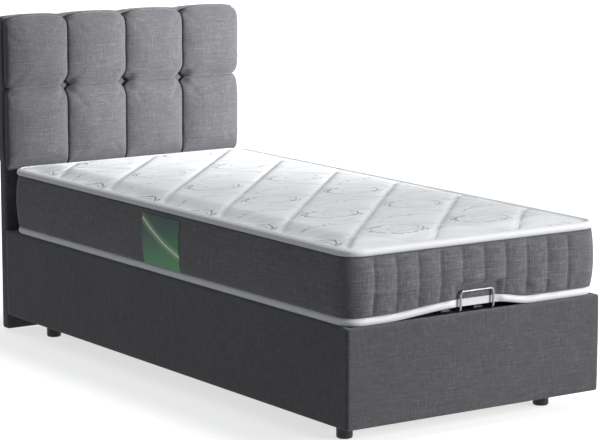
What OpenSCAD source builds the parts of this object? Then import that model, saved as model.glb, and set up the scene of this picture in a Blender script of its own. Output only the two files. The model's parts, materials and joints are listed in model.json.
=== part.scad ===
// Single adjustable bed base with an upholstered surround, a padded headboard,
// a dual drive, four-part deck, mattress retainer bar and its mattress.
// Millimetres. X is across the bed, +Y points to the headboard, +Z is up.
// The origin is on the floor, in the middle of the whole bed's outline.

/* [Surround] */
// Width of the upholstered surround
bed_w = 916; // [760:1:1600]
// Length of the upholstered surround
bed_l = 2000; // [1660:1:2400]
// Height of the surround's panels
panel_h = 292; // [240:1:380]
// Thickness of the wooden panels
board_t = 18; // [15:1:22]
// Thickness of the padding and fabric on the panels
cover_t = 3; // [2:0.5:5]
// How far the fabric is turned down inside the rim
cover_turn = 36; // [15:1:60]

/* [Feet] */
// Height of the feet
foot_h = 60; // [40:1:120]
// Diameter of a foot
foot_d = 48; // [36:1:70]
// Foot centre from the side of the bed
foot_inset_x = 96; // [60:1:120]
// Foot centre from the end of the bed
foot_inset_y = 149; // [60:1:200]
// Diameter of the stud that holds a foot
foot_stud_d = 8; // [6:1:10]

/* [Headboard] */
// Height of the headboard's top above the floor
headboard_h = 1075; // [900:1:1300]
// Gap between the headboard's lower edge and the floor
headboard_lift = 10; // [5:1:40]
// Thickness of the headboard's plain lower part
headboard_t = 40; // [30:1:60]
// Number of cushions across
cushion_columns = 4; // [2:1:6]
// Height of the seam between the two cushion rows
cushion_split_z = 835; // [800:1:900]
// Depth of a cushion at its seams
cushion_edge_t = 15; // [10:1:25]
// Depth of a cushion at its crown
cushion_crown_t = 60; // [40:1:60]
// Gap between neighbouring cushions
cushion_gap = 2; // [1:0.5:4]

/* [Deck] */
// Length of the back section
back_l = 780; // [700:1:850]
// Length of the fixed seat section
seat_l = 230; // [200:1:260]
// Length of the thigh section
thigh_l = 330; // [280:1:380]
// Thickness of the deck boards
deck_t = 12; // [9:1:16]
// How far the deck's top lies below the rim
deck_drop = 7; // [5:0.5:12]
// Distance from a hinge line to the deck's edge
hinge_setback = 14; // [14:1:20]
// Size of the square frame tubes
tube = 25; // [20:0.5:30]
// Wall of the steel tubes
tube_wall = 2; // [1.5:0.5:3]
// Clearance between the surround's boards and the steel frame
frame_gap = 12; // [8:1:30]
// Diameter of the hinge pins
pin_d = 8; // [6:1:10]
// Diameter of the deck's ventilation holes
vent_d = 24; // [15:1:35]

/* [Motion] */
// Highest angle of the back section
back_angle = 60; // [40:1:60]
// Highest angle of the thigh section
thigh_angle = 30; // [20:1:30]
// Length of the lever that lifts the back section
back_lever_r = 150; // [120:1:180]
// Length of the lever that lifts the thigh section
thigh_lever_r = 150; // [120:1:180]

/* [Retainer bar] */
// Width of the bar between its posts
bar_w = 126; // [80:1:300]
// Diameter of the bar's wire
bar_wire_d = 7; // [5:0.5:8]
// Height of the bar's top above the rim
bar_rise = 66; // [40:1:120]

/* [Mattress] */
// Height of the mattress
mattress_h = 220; // [150:1:280]
// Gap between the rim and the mattress
mattress_lift = 1; // [0.5:0.5:3]
// How far the mattress sides stay inside the surround's sides
mattress_side_inset = 2; // [0:1:20]
// Gap between the mattress and the headboard's plain part
mattress_head_gap = 45; // [45:1:80]
// Corner radius of the mattress, seen from above
mattress_corner_r = 60; // [30:1:100]
// Distance between the three lines where the mattress bends at the back
bend_pitch = 110; // [104:1:125]

/* [Hidden] */
$fn = 48;
play = 0.05;
slip = 0.5;
depth = bed_l + headboard_t;
half_w = bed_w / 2;
y_foot = -depth / 2;
y_head = y_foot + bed_l;
rim_z = foot_h + panel_h;

// Surround
board_x = half_w - cover_t;
inner_x = board_x - board_t;
inner_y0 = y_foot + cover_t + board_t;
inner_y1 = y_head - board_t;
turn_t = 1.5;
block = 60;
rim_r = 9;

// Deck levels and hinge lines
deck_z1 = rim_z - deck_drop;
deck_z0 = deck_z1 - deck_t;
hinge_z = (deck_z0 + deck_z1) / 2;
tube_z0 = deck_z0 - tube;
y_back_end = inner_y1 - 14;
y_back = y_head - 20 - back_l;
y_thigh = y_back - seat_l;
y_knee = y_thigh - thigh_l;
y_calf_end = inner_y0 + 14;

// Lanes across the bed, from the middle outwards
rail_w = 20;
rail_h = 40;
rail_x1 = inner_x - frame_gap;
rail_x0 = rail_x1 - rail_w;
plate_t = 4;
lane_gap = 1;
fixed_plate_x0 = rail_x0 - plate_t;
lug_x1 = fixed_plate_x0 - lane_gap;
lug_x0 = lug_x1 - plate_t;
side_tube_x1 = lug_x0;
side_tube_x0 = side_tube_x1 - tube;
calf_tube_x1 = side_tube_x1 + plate_t + lane_gap;
calf_tube_x0 = calf_tube_x1 - tube;
deck_x = side_tube_x1 - 1;
rail_z1 = tube_z0 - 8;
rail_z0 = rail_z1 - rail_h;
frame_bolt_d = 8;
block_z1 = rail_z0 - 8;
lug_r = 8.5;

// Fixed cross tubes
cross_w = 25;
y_cross_head = y_head - 110;
y_cross_back = y_back + 110;
y_cross_seat = y_back - seat_l / 2;
y_cross_thigh = y_thigh - 90;
y_cross_foot = y_foot + 120;
CROSS_Y = [y_cross_head, y_cross_back, y_cross_seat, y_cross_thigh, y_cross_foot];

// Dual drive: a lane for each lever, a sliding block and a spindle in each
drive_lane = 32;
roller_r = 12;
roller_w = 24;
lever_t = 8;
lever_drop_back = back_lever_r * cos(back_angle / 2);
lever_swing_back = back_lever_r * sin(back_angle / 2);
lever_drop_thigh = thigh_lever_r * cos(thigh_angle / 2);
lever_swing_thigh = thigh_lever_r * sin(thigh_angle / 2);
y_back_roller = y_back - lever_swing_back;
z_back_roller = hinge_z - lever_drop_back;
y_thigh_roller = y_thigh + lever_swing_thigh;
z_thigh_roller = hinge_z - lever_drop_thigh;
push_gap_back = 1.8;
push_gap_thigh = 0.8;
block_l = 26;
block_w = 40;
spindle_d = 12;
z_spindle = hinge_z - max(back_lever_r, thigh_lever_r) - roller_r - 12;
y_back_block = y_back_roller - roller_r - push_gap_back - block_l;
y_thigh_block = y_thigh_roller + roller_r + push_gap_thigh;
motor_d = 50;
motor_l = 92;
gear_l = 30;
z_motor = z_spindle + 25;
case_wall = 3;
case_x = 66;
case_z0 = z_spindle - 17;
case_z1 = rail_z0 - 2;
case_z_split = z_spindle + 40;
y_case0 = y_thigh - 120;
y_case1 = y_back + 125;
bearing_l = 12;
drive_bolt_d = 6;
y_gear_back = y_back_block - gear_l / 2 - 4;
y_gear_thigh = y_thigh_block + block_l + gear_l / 2 + 4;
y_bearing_back = y_case1 - case_wall - bearing_l;
y_bearing_thigh = y_case0 + case_wall;

// Calf support links, placed from the knee
link_q = [-160, -18.5];
link_p = [33.5, -28.6];
link_t = 5;
link_pin_d = 8;
link_slack = 2.2;
link_x0 = calf_tube_x1 + 6;
link_x1 = link_x0 + link_t;

// Retainer bar
bar_z = rim_z + 1.5 + bar_wire_d / 2;
bar_y = y_foot + 4.5;
bar_leg_l = 100;
bar_bend_r = 10;
bar_top_z = rim_z + bar_rise - bar_wire_d / 2;
foot_dent = 9;

// Mattress
mattress_x = half_w - mattress_side_inset;
mattress_z0 = rim_z + mattress_lift;
mattress_z1 = mattress_z0 + mattress_h;
mattress_y0 = y_foot + 2;
mattress_y1 = y_head - mattress_head_gap;
bend_angle = back_angle / 3;
// The bend lines sit a little towards the foot, so that the bent mattress clears the raised deck
bend_shift = 26;
y_bend_1 = y_back - bend_shift - bend_pitch;
y_bend_2 = y_back - bend_shift;
y_bend_3 = y_back - bend_shift + bend_pitch;
z_low = mattress_z0;
z_top = mattress_z1;
bend_slope = tan(bend_angle) * mattress_h;
y_thigh_low = y_thigh - tan(thigh_angle) * (z_low - hinge_z) - 1;
y_thigh_top = y_thigh - tan(thigh_angle) * (z_top - hinge_z) - 1;

// Headboard
board_z0 = headboard_lift;
headboard_bolt_d = 8;
headboard_bolt_x = inner_x - 90;
HEADBOARD_BOLT_Z = [foot_h + 70, rim_z - 82];
cushion_z0 = mattress_z1 + 12;
column_w = bed_w / cushion_columns;

// ---------- helpers ----------

// A box given by its two ends on each axis
module slab(x, y, z) {
    translate([x[0], y[0], z[0]])
        cube([x[1] - x[0], y[1] - y[0], z[1] - z[0]]);
}

// A copy on the other side of the bed
module both_sides() {
    children();
    mirror([1, 0, 0]) children();
}

// A copy at each end of the bed's surround
module four_corners() {
    both_sides() {
        children();
        translate([0, y_foot + y_head, 0]) mirror([0, 1, 0]) children();
    }
}

// A rod along X between two positions
module rod_x(x, y, z, d) {
    translate([x[0], y, z]) rotate([0, 90, 0]) cylinder(d = d, h = x[1] - x[0]);
}

// A rod along Y between two positions
module rod_y(x, y, z, d) {
    translate([x, y[1], z]) rotate([90, 0, 0]) cylinder(d = d, h = y[1] - y[0]);
}

// Square tube along X
module tube_x(x, y, z) {
    difference() {
        slab(x, y, z);
        slab([x[0] - 1, x[1] + 1],
            [y[0] + tube_wall, y[1] - tube_wall],
            [z[0] + tube_wall, z[1] - tube_wall]);
    }
}

// Square tube along Y
module tube_y(x, y, z) {
    difference() {
        slab(x, y, z);
        slab([x[0] + tube_wall, x[1] - tube_wall],
            [y[0] - 1, y[1] + 1],
            [z[0] + tube_wall, z[1] - tube_wall]);
    }
}

// An outline drawn in the bed's Y and Z, given a thickness across X
module upright(x) {
    translate([x[0], 0, 0]) rotate([90, 0, 90]) linear_extrude(x[1] - x[0]) children();
}

// ---------- surround ----------

module side_board() {
    difference() {
        slab([inner_x, board_x], [y_foot + cover_t, y_head], [foot_h + cover_t, rim_z - cover_t]);
        for (y = [y_cross_head, y_cross_thigh, y_cross_foot])
            rod_x([inner_x - 1, board_x + 1], y, (rail_z0 + rail_z1) / 2, frame_bolt_d + 0.4);
    }
}

module left_side_board() {
    color("burlywood") mirror([1, 0, 0]) side_board();
}

module right_side_board() {
    color("burlywood") side_board();
}

module foot_end_board() {
    color("burlywood")
        slab([-inner_x, inner_x], [y_foot + cover_t, inner_y0], [foot_h + cover_t, rim_z - cover_t]);
}

module head_end_board() {
    color("burlywood") difference() {
        slab([-inner_x, inner_x], [inner_y1, y_head], [foot_h + cover_t, rim_z - cover_t]);
        headboard_bolt_holes();
    }
}

// The padded fabric on a side: outer face, rim, lower edge and the turn inside the rim
module side_cover() {
    difference() {
        slab([inner_x - turn_t, half_w], [y_foot + rim_r, y_head], [foot_h, rim_z]);
        slab([inner_x - 0.001, board_x], [y_foot, y_head + 1], [foot_h + cover_t, rim_z - cover_t]);
        slab([inner_x - turn_t - 1, inner_x], [y_foot, y_head + 1], [foot_h - 1, rim_z - cover_turn]);
        slab([inner_x - turn_t - 1, inner_x], [y_foot, inner_y0], [foot_h - 1, rim_z + 1]);
        slab([inner_x - turn_t - 1, inner_x], [inner_y1, y_head + 1], [foot_h - 1, rim_z + 1]);
    }
}

module left_side_cover() {
    color("dimgray") mirror([1, 0, 0]) side_cover();
}

module right_side_cover() {
    color("dimgray") side_cover();
}

// The fabric over the foot end, with the bed's two rounded upright corners
module foot_end_cover() {
    color("gray") difference() {
        union() {
            slab([-inner_x, inner_x], [y_foot, inner_y0 + turn_t], [foot_h, rim_z]);
            both_sides() {
                slab([inner_x, half_w - rim_r], [y_foot, y_foot + rim_r], [foot_h, rim_z]);
                translate([half_w - rim_r, y_foot + rim_r, foot_h]) cylinder(r = rim_r, h = panel_h);
            }
        }
        slab([-board_x, board_x], [y_foot + cover_t, inner_y0], [foot_h + cover_t, rim_z - cover_t]);
        both_sides() slab([inner_x, half_w + 1], [y_foot + rim_r, inner_y0 + 5], [foot_h - 1, rim_z + 1]);
        slab([-inner_x - 1, inner_x + 1], [inner_y0, inner_y0 + 5], [foot_h - 1, rim_z - cover_turn]);
        both_sides() slab([inner_x - turn_t, inner_x + 1], [inner_y0, inner_y0 + 5], [foot_h - 1, rim_z + 1]);
    }
}

// A square post in each corner, drilled for the foot's stud
module corner_blocks() {
    color("tan") four_corners() difference() {
        slab([half_w - foot_inset_x - block / 2, inner_x],
            [y_head - foot_inset_y - block / 2, y_head - foot_inset_y + block / 2],
            [foot_h + cover_t, block_z1]);
        translate([half_w - foot_inset_x, y_head - foot_inset_y, foot_h])
            cylinder(d = foot_stud_d + 2 * play, h = 50);
    }
}

// Turned feet with a rounded lower edge
module feet() {
    edge = 6;
    color("black") four_corners()
        translate([half_w - foot_inset_x, y_head - foot_inset_y, 0]) difference() {
            rotate_extrude() {
                square([foot_d / 2 - edge, foot_h + cover_t]);
                translate([0, edge]) square([foot_d / 2, foot_h + cover_t - edge]);
                translate([foot_d / 2 - edge, edge]) circle(r = edge);
            }
            translate([0, 0, foot_h - 25]) cylinder(d = foot_stud_d + 2 * play, h = 40);
        }
}

module foot_studs() {
    color("silver") four_corners()
        translate([half_w - foot_inset_x, y_head - foot_inset_y, foot_h - 25])
            cylinder(d = foot_stud_d, h = 70);
}

// ---------- headboard ----------

module headboard_bolt_holes() {
    for (x = [-1, 1] * headboard_bolt_x, z = HEADBOARD_BOLT_Z)
        rod_y(x, [inner_y1 - 30, y_head + headboard_t - cover_t], z, headboard_bolt_d + 0.4);
}

module headboard_panel() {
    color("burlywood") difference() {
        slab([-board_x, board_x], [y_head + cover_t, y_head + headboard_t - cover_t],
            [board_z0 + cover_t, headboard_h - cover_t]);
        headboard_bolt_holes();
    }
}

// Padded fabric all round the headboard's panel
module headboard_cover() {
    color("dimgray") difference() {
        slab([-half_w, half_w], [y_head, y_head + headboard_t], [board_z0, headboard_h]);
        slab([-board_x, board_x], [y_head + cover_t, y_head + headboard_t - cover_t],
            [board_z0 + cover_t, headboard_h - cover_t]);
        headboard_bolt_holes();
    }
}

// Bolts from inside the surround into the headboard, with their washers
module headboard_bolts() {
    washer_t = 2;
    color("silver") for (x = [-1, 1] * headboard_bolt_x, z = HEADBOARD_BOLT_Z) {
        rod_y(x, [inner_y1 - 8, y_head + headboard_t - cover_t - 2], z, headboard_bolt_d);
        rod_y(x, [inner_y1 - washer_t, inner_y1], z, 22);
        rod_y(x, [inner_y1 - 8, inner_y1 - washer_t], z, 14);
    }
}

// One padded cushion: full size at its seams and smaller at its crown
module cushion(column, z) {
    bevel = 38;
    x0 = -half_w + column * column_w + (column == 0 ? 0 : cushion_gap / 2);
    x1 = -half_w + (column + 1) * column_w - (column == cushion_columns - 1 ? 0 : cushion_gap / 2);
    color("slategray") hull() {
        slab([x0, x1], [y_head - cushion_edge_t, y_head], z);
        slab([x0 + bevel / 2, x1 - bevel / 2], [y_head - cushion_crown_t + 12, y_head],
            [z[0] + bevel / 2, z[1] - bevel / 2]);
        slab([x0 + bevel, x1 - bevel], [y_head - cushion_crown_t, y_head],
            [z[0] + 1.7 * bevel, z[1] - bevel]);
    }
}

module cushion_lower(column) {
    cushion(column, [cushion_z0, cushion_split_z - cushion_gap / 2]);
}

module cushion_upper(column) {
    cushion(column, [cushion_split_z + cushion_gap / 2, headboard_h]);
}

// ---------- fixed steel frame ----------

module frame_rails() {
    color("darkslategray") both_sides() difference() {
        tube_y([rail_x0, rail_x1], [inner_y0 + 4, inner_y1 - 4], [rail_z0, rail_z1]);
        for (y = [y_cross_head, y_cross_thigh, y_cross_foot])
            rod_x([rail_x0 - 1, rail_x1 + 1], y, (rail_z0 + rail_z1) / 2, frame_bolt_d + 0.4);
    }
}

module frame_cross_tubes() {
    color("darkslategray") difference() {
        for (y = CROSS_Y)
            tube_x([-rail_x0, rail_x0], [y - cross_w / 2, y + cross_w / 2], [rail_z0, rail_z1]);
        drive_bolt_holes();
    }
}

// Bolts, spacers and washers that hold the rails to the side boards
module frame_bolts() {
    z = (rail_z0 + rail_z1) / 2;
    color("silver") both_sides() for (y = [y_cross_head, y_cross_thigh, y_cross_foot]) {
        rod_x([rail_x0 + tube_wall, board_x - 2], y, z, frame_bolt_d);
        rod_x([rail_x0 + tube_wall, rail_x0 + tube_wall + 5], y, z, 13);
        rod_x([rail_x1, inner_x], y, z, 20);
    }
}

// Rubber pads: round ones that the moving sections come down on, and square ones over the drive
module rubber_pads() {
    color("black") {
        both_sides() for (y = [y_cross_head, y_cross_back, y_cross_thigh, y_cross_foot])
            translate([side_tube_x0 + tube / 2, y, rail_z1])
                cylinder(d = 18, h = tube_z0 - rail_z1 - slip);
        difference() {
            at_drive_bolts() slab([-11, 11], [-11, 11], [case_z1, rail_z0]);
            drive_bolt_holes();
        }
    }
}

// A plate at one end of a seat hinge; s is +1 where the seat lies towards the headboard
module hinge_plate(y, s) {
    difference() {
        union() {
            slab([fixed_plate_x0, rail_x0], [y - 42, y + 42], [rail_z0, rail_z1]);
            slab([fixed_plate_x0, rail_x0], [y - 12, y + 12], [rail_z1, hinge_z + lug_r]);
            slab([fixed_plate_x0, rail_x0], [y + s * 25 - 17, y + s * 25 + 17], [rail_z1, deck_z0]);
        }
        for (c = CROSS_Y)
            slab([fixed_plate_x0 - 1, rail_x0 + 1], [c - cross_w / 2, c + cross_w / 2],
                [rail_z0 - 1, rail_z1]);
        rod_x([fixed_plate_x0 - 1, rail_x0 + 1], y, hinge_z, pin_d + 2 * play);
    }
}

// Steel welded to the rails: the seat hinges' plates, and ears with the calf links' fixed pins
module frame_brackets() {
    y = y_knee + link_p[0];
    z = hinge_z + link_p[1];
    color("darkslategray") both_sides() {
        hinge_plate(y_back, -1);
        hinge_plate(y_thigh, 1);
        slab([link_x1 + 0.6, link_x1 + 0.6 + plate_t], [y - 10, y + 10], [rail_z1, z + 9]);
        rod_x([link_x0 - 1, link_x1 + 1.6], y, z, link_pin_d);
    }
}

// A headed pin through the fixed plate and the moving lug
module hinge_pin() {
    rod_x([lug_x0, rail_x0 + 3], 0, 0, pin_d);
    rod_x([rail_x0, rail_x0 + 3], 0, 0, pin_d + 5);
}

module hinge_pins() {
    color("silver") both_sides() for (y = [y_back, y_thigh])
        translate([0, y, hinge_z]) hinge_pin();
}

module seat_cross_tubes() {
    color("dimgray") {
        for (y = [y_back - hinge_setback - tube, y_thigh + hinge_setback])
            tube_x([-fixed_plate_x0, fixed_plate_x0], [y, y + tube], [tube_z0, deck_z0]);
    }
}

// A deck board between two positions along the bed, with rows of ventilation holes
module deck_board(x, y, rows) {
    pitch = (y[1] - y[0]) / rows;
    column_pitch = x / 3;
    color("peru") difference() {
        slab([-x, x], y, [deck_z0, deck_z1]);
        for (row = [0 : rows - 1], column = [-2 : 2])
            translate([column * column_pitch, y[0] + (row + 0.5) * pitch, deck_z0 - 1])
                cylinder(d = vent_d, h = deck_t + 2);
    }
}

module seat_deck() {
    deck_board(deck_x, [y_thigh + hinge_setback, y_back - hinge_setback], 2);
}

// A rubber strip across the deck that the mattress lies on
module grip_strip(y, length) {
    slab([-deck_x + 30, deck_x - 30], [y - length / 2, y + length / 2], [deck_z1, mattress_z0 - slip]);
}

module seat_grip_strip() {
    color("black") grip_strip(y_thigh + 70, 30);
}

// ---------- dual drive ----------

// Places of the four bolts that hang the drive from two fixed cross tubes
module at_drive_bolts() {
    for (x = [-1, 1] * (case_x - 14), y = [y_cross_back, y_cross_thigh])
        translate([x, y, 0]) children();
}

module drive_bolt_holes() {
    at_drive_bolts() translate([0, 0, case_z0]) cylinder(d = drive_bolt_d + 0.4, h = rim_z - case_z0);
}

module drive_bolts() {
    color("silver") at_drive_bolts() {
        translate([0, 0, case_z1 - case_wall - 6]) cylinder(d = drive_bolt_d, h = rail_h + 2 + case_wall + 6);
        translate([0, 0, rail_z1]) cylinder(d = 11, h = 4);
        translate([0, 0, case_z1 - case_wall - 5]) cylinder(d = 11, h = 5);
    }
}

module drive_case(z) {
    difference() {
        slab([-case_x, case_x], [y_case0, y_case1], z);
        slab([-case_x + case_wall, case_x - case_wall], [y_case0 + case_wall, y_case1 - case_wall],
            [case_z0 + case_wall, case_z1 - case_wall]);
        children();
    }
}

// The upper shell, with a slot for each lever
module drive_case_upper() {
    slot_w = lever_t + 8;
    color("darkgray") drive_case([case_z_split, case_z1]) {
        slab([drive_lane - slot_w / 2, drive_lane + slot_w / 2],
            [y_back - lever_swing_back - 10, y_back + lever_swing_back + 20],
            [case_z1 - case_wall - 1, case_z1 + 1]);
        slab([-drive_lane - slot_w / 2, -drive_lane + slot_w / 2],
            [y_thigh - lever_swing_thigh - 50, y_thigh + lever_swing_thigh],
            [case_z1 - case_wall - 1, case_z1 + 1]);
        drive_bolt_holes();
    }
}

module drive_case_lower() {
    color("darkgray") drive_case([case_z0, case_z_split])
        rod_x([case_x - case_wall - 1, case_x + 1], y_cross_seat, z_motor, 12.4);
}

// A motor with its gearbox: s is 1 for the back's lane and -1 for the thigh's lane
module drive_motor(s, y_gear) {
    x = s * drive_lane;
    slab([x - 26, x + 26], [y_gear - gear_l / 2, y_gear + gear_l / 2], [case_z0 + case_wall, z_motor + 27]);
    y_motor = y_gear - s * ((gear_l + motor_l) / 2 - 1);
    rod_y(x, [y_motor - motor_l / 2, y_motor + motor_l / 2], z_motor, motor_d);
}

module drive_motors() {
    color("silver") {
        drive_motor(1, y_gear_back);
        drive_motor(-1, y_gear_thigh);
    }
}

// Lead screws, each with its far bearing
module drive_spindles() {
    color("lightsteelblue") {
        rod_y(drive_lane, [y_gear_back + gear_l / 2, y_bearing_back + bearing_l], z_spindle, spindle_d);
        rod_y(drive_lane, [y_bearing_back, y_bearing_back + bearing_l], z_spindle, spindle_d + 12);
        rod_y(-drive_lane, [y_bearing_thigh, y_gear_thigh - gear_l / 2], z_spindle, spindle_d);
        rod_y(-drive_lane, [y_bearing_thigh, y_bearing_thigh + bearing_l], z_spindle, spindle_d + 12);
    }
}

module cable_gland() {
    color("black") difference() {
        union() {
            rod_x([case_x - case_wall, case_x], y_cross_seat, z_motor, 12);
            rod_x([case_x, case_x + 12], y_cross_seat, z_motor, 17);
        }
        rod_x([case_x + 2, case_x + 13], y_cross_seat, z_motor, 6);
    }
}

// A nut block that runs along its spindle and pushes a lever's roller
module drive_block(x, y, z_top) {
    color("orange") difference() {
        slab([x - block_w / 2, x + block_w / 2], [y, y + block_l], [z_spindle - 11, z_top]);
        rod_y(x, [y - 1, y + block_l + 1], z_spindle, spindle_d + 2 * play);
    }
}

module back_drive_block() {
    drive_block(drive_lane, y_back_block, z_back_roller + 16);
}

module leg_drive_block() {
    drive_block(-drive_lane, y_thigh_block, z_thigh_roller + 16);
}

// ---------- moving sections ----------

// A lug: a plate on a side tube that reaches to a hinge line; s is +1 when the tube is on the head side
module lug(x, y_hinge, s) {
    difference() {
        upright(x) hull() {
            translate([y_hinge, hinge_z]) circle(r = lug_r);
            translate([y_hinge + s * 46, tube_z0 + 8]) square([24, 16], center = true);
        }
        children();
    }
}

// The hole in a lug
module lug_hole(x, y_hinge) {
    rod_x([x[0] - 1, x[1] + 1], y_hinge, hinge_z, pin_d + 2 * play);
}

// A lever of flat bar that hangs from a cross tube and carries a roller
module lever(x, y_tube, y_roller, z_roller) {
    upright([x - lever_t / 2, x + lever_t / 2]) hull() {
        translate([y_tube, tube_z0 - 8]) square([tube, 8]);
        translate([y_roller, z_roller]) circle(r = roller_r - 3);
    }
    rod_x([x - roller_w / 2, x + roller_w / 2], y_roller, z_roller, 2 * roller_r);
    slab([x - 16, x + 16], [y_tube, y_tube + tube], [tube_z0 - 4, tube_z0]);
}

module back_side_tubes() {
    color("dimgray") both_sides() {
        tube_y([side_tube_x0, side_tube_x1], [y_back + hinge_setback, y_back_end], [tube_z0, deck_z0]);
        lug([lug_x0, lug_x1], y_back, 1) lug_hole([lug_x0, lug_x1], y_back);
    }
}

module back_cross_tubes() {
    y0 = y_back + hinge_setback;
    middle = (y0 + y_back_end - tube) / 2;
    color("dimgray") for (y = [y0, middle, y_back_end - tube])
        tube_x([-side_tube_x0, side_tube_x0], [y, y + tube], [tube_z0, deck_z0]);
}

module back_lever() {
    color("darkslategray") lever(drive_lane, y_back + hinge_setback, y_back_roller, z_back_roller);
}

module back_deck() {
    deck_board(deck_x, [y_back + hinge_setback, y_back_end], 6);
}

module back_grip_strips() {
    color("black") for (t = [0.3, 0.6, 0.9])
        grip_strip(y_back + t * (y_back_end - y_back), 40);
}

// The knee's pins are welded to this section's lugs
module thigh_side_tubes() {
    color("dimgray") both_sides() {
        tube_y([side_tube_x0, side_tube_x1], [y_knee + hinge_setback, y_thigh - hinge_setback],
            [tube_z0, deck_z0]);
        lug([lug_x0, lug_x1], y_thigh, -1) lug_hole([lug_x0, lug_x1], y_thigh);
        lug([lug_x0, lug_x1], y_knee, 1);
        rod_x([lug_x0, calf_tube_x1 + plate_t + 1], y_knee, hinge_z, pin_d);
    }
}

module thigh_cross_tubes() {
    color("dimgray") for (y = [y_thigh - hinge_setback - tube, y_knee + hinge_setback])
        tube_x([-side_tube_x0, side_tube_x0], [y, y + tube], [tube_z0, deck_z0]);
}

module thigh_lever() {
    color("darkslategray")
        lever(-drive_lane, y_thigh - hinge_setback - tube, y_thigh_roller, z_thigh_roller);
}

module thigh_deck() {
    deck_board(deck_x, [y_knee + hinge_setback, y_thigh - hinge_setback], 2);
}

module thigh_grip_strip() {
    color("black") grip_strip((y_thigh + y_knee) / 2 - 20, 40);
}

module calf_side_tubes() {
    color("dimgray") both_sides() {
        tube_y([calf_tube_x0, calf_tube_x1], [y_calf_end, y_knee - hinge_setback], [tube_z0, deck_z0]);
        rod_x([calf_tube_x1, link_x1 + 1], y_knee + link_q[0], hinge_z + link_q[1], link_pin_d);
        lug([calf_tube_x1, calf_tube_x1 + plate_t], y_knee, -1)
            lug_hole([calf_tube_x1, calf_tube_x1 + plate_t], y_knee);
    }
}

module calf_cross_tubes() {
    y1 = y_knee - hinge_setback - tube;
    middle = (y1 + y_calf_end) / 2;
    color("dimgray") for (y = [y_calf_end, middle, y1])
        tube_x([-calf_tube_x0, calf_tube_x0], [y, y + tube], [tube_z0, deck_z0]);
}

module calf_deck() {
    deck_board(deck_x, [y_calf_end, y_knee - hinge_setback], 5);
}

module calf_grip_strips() {
    color("black") for (t = [0.35, 0.6])
        grip_strip(y_knee - t * (y_knee - y_calf_end), 40);
}

// Flat links, with a close hole at the fixed pin and a clearance hole at the calf's pin
module calf_links() {
    p = [y_knee + link_p[0], hinge_z + link_p[1]];
    q = [y_knee + link_q[0], hinge_z + link_q[1]];
    color("silver") both_sides() difference() {
        upright([link_x0, link_x1]) hull() {
            translate(p) circle(r = lug_r);
            translate(q) circle(r = 11);
        }
        rod_x([link_x0 - 1, link_x1 + 1], p[0], p[1], link_pin_d + 2 * play);
        rod_x([link_x0 - 1, link_x1 + 1], q[0], q[1], link_pin_d + 2 * link_slack);
    }
}

// A quarter bend of wire in the plane X and Z, turning from a post to the top
module wire_bend(r) {
    rotate([90, 0, 0]) rotate_extrude(angle = 90) translate([r, 0]) circle(d = bar_wire_d);
}

// Bent wire: two legs on the deck, two posts outside the rim and the top
module retainer_bar() {
    x = bar_w / 2 - bar_wire_d / 2;
    r = bar_bend_r;
    color("gainsboro") both_sides() {
        rod_y(x, [bar_y + r, bar_y + bar_leg_l], bar_z, bar_wire_d);
        translate([x, bar_y + r, bar_z + r]) rotate([0, -90, 0]) rotate([0, 0, 180])
            rotate_extrude(angle = 90) translate([r, 0]) circle(d = bar_wire_d);
        translate([x, bar_y, bar_z + r]) cylinder(d = bar_wire_d, h = bar_top_z - bar_z - 2 * r);
        translate([x - r, bar_y, bar_top_z - r]) wire_bend(r);
        rod_x([0, x - r], bar_y, bar_top_z, bar_wire_d);
        translate([x, bar_y + bar_leg_l - 20, 0]) difference() {
            slab([-16, 16], [-10, 10], [deck_z1, bar_z + bar_wire_d / 2 + 2]);
            rod_y(0, [-11, 11], bar_z, bar_wire_d);
        }
    }
}

// ---------- mattress ----------

module mattress_outline() {
    r = mattress_corner_r;
    x = mattress_x;
    linear_extrude(mattress_z1 + 10) {
        translate([-x, mattress_y0 + r]) square([2 * x, mattress_y1 - mattress_y0 - 2 * r]);
        translate([-x + r, mattress_y0]) square([2 * x - 2 * r, mattress_y1 - mattress_y0]);
        for (sx = [-1, 1], y = [mattress_y0 + r, mattress_y1 - r])
            translate([sx * (x - r), y]) circle(r = r);
    }
}

// One length of the mattress, cut to an outline in Y and Z
module mattress_length(points) {
    color("slategray") intersection() {
        upright([-half_w, half_w]) polygon(points);
        mattress_outline();
    }
}

module mattress_seat() {
    mattress_length([[y_thigh + slip, z_low], [y_bend_1, z_low], [y_bend_1, z_top], [y_thigh + slip, z_top]]);
}

module mattress_bend_1() {
    mattress_length([[y_bend_1 + slip, z_low], [y_bend_2, z_low], [y_bend_2, z_top],
        [y_bend_1 + slip + bend_slope, z_top]]);
}

module mattress_bend_2() {
    mattress_length([[y_bend_2 + slip, z_low], [y_bend_3, z_low], [y_bend_3, z_top],
        [y_bend_2 + slip + bend_slope, z_top]]);
}

module mattress_back() {
    mattress_length([[y_bend_3 + slip, z_low], [y_head, z_low], [y_head, z_top],
        [y_bend_3 + slip + bend_slope, z_top]]);
}

module mattress_thigh() {
    mattress_length([[y_knee + slip, z_low], [y_thigh_low, z_low],
        [y_thigh_top, z_top], [y_knee + slip, z_top]]);
}

// The part over the calves, hollowed where the retainer bar comes out from under it
module mattress_legs() {
    difference() {
        mattress_length([[y_foot, z_low], [y_knee - slip, z_low], [y_knee - slip, z_top], [y_foot, z_top]]);
        slab([-bar_w / 2 - 22, bar_w / 2 + 22], [y_foot - 1, bar_y + bar_leg_l + 5],
            [z_low - 1, bar_z + bar_wire_d / 2 + 5]);
        slab([-bar_w / 2 - 8, bar_w / 2 + 8], [y_foot - 1, bar_y + foot_dent], [z_low - 1, bar_top_z + 12]);
    }
}

// ---------- selection ----------

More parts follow.
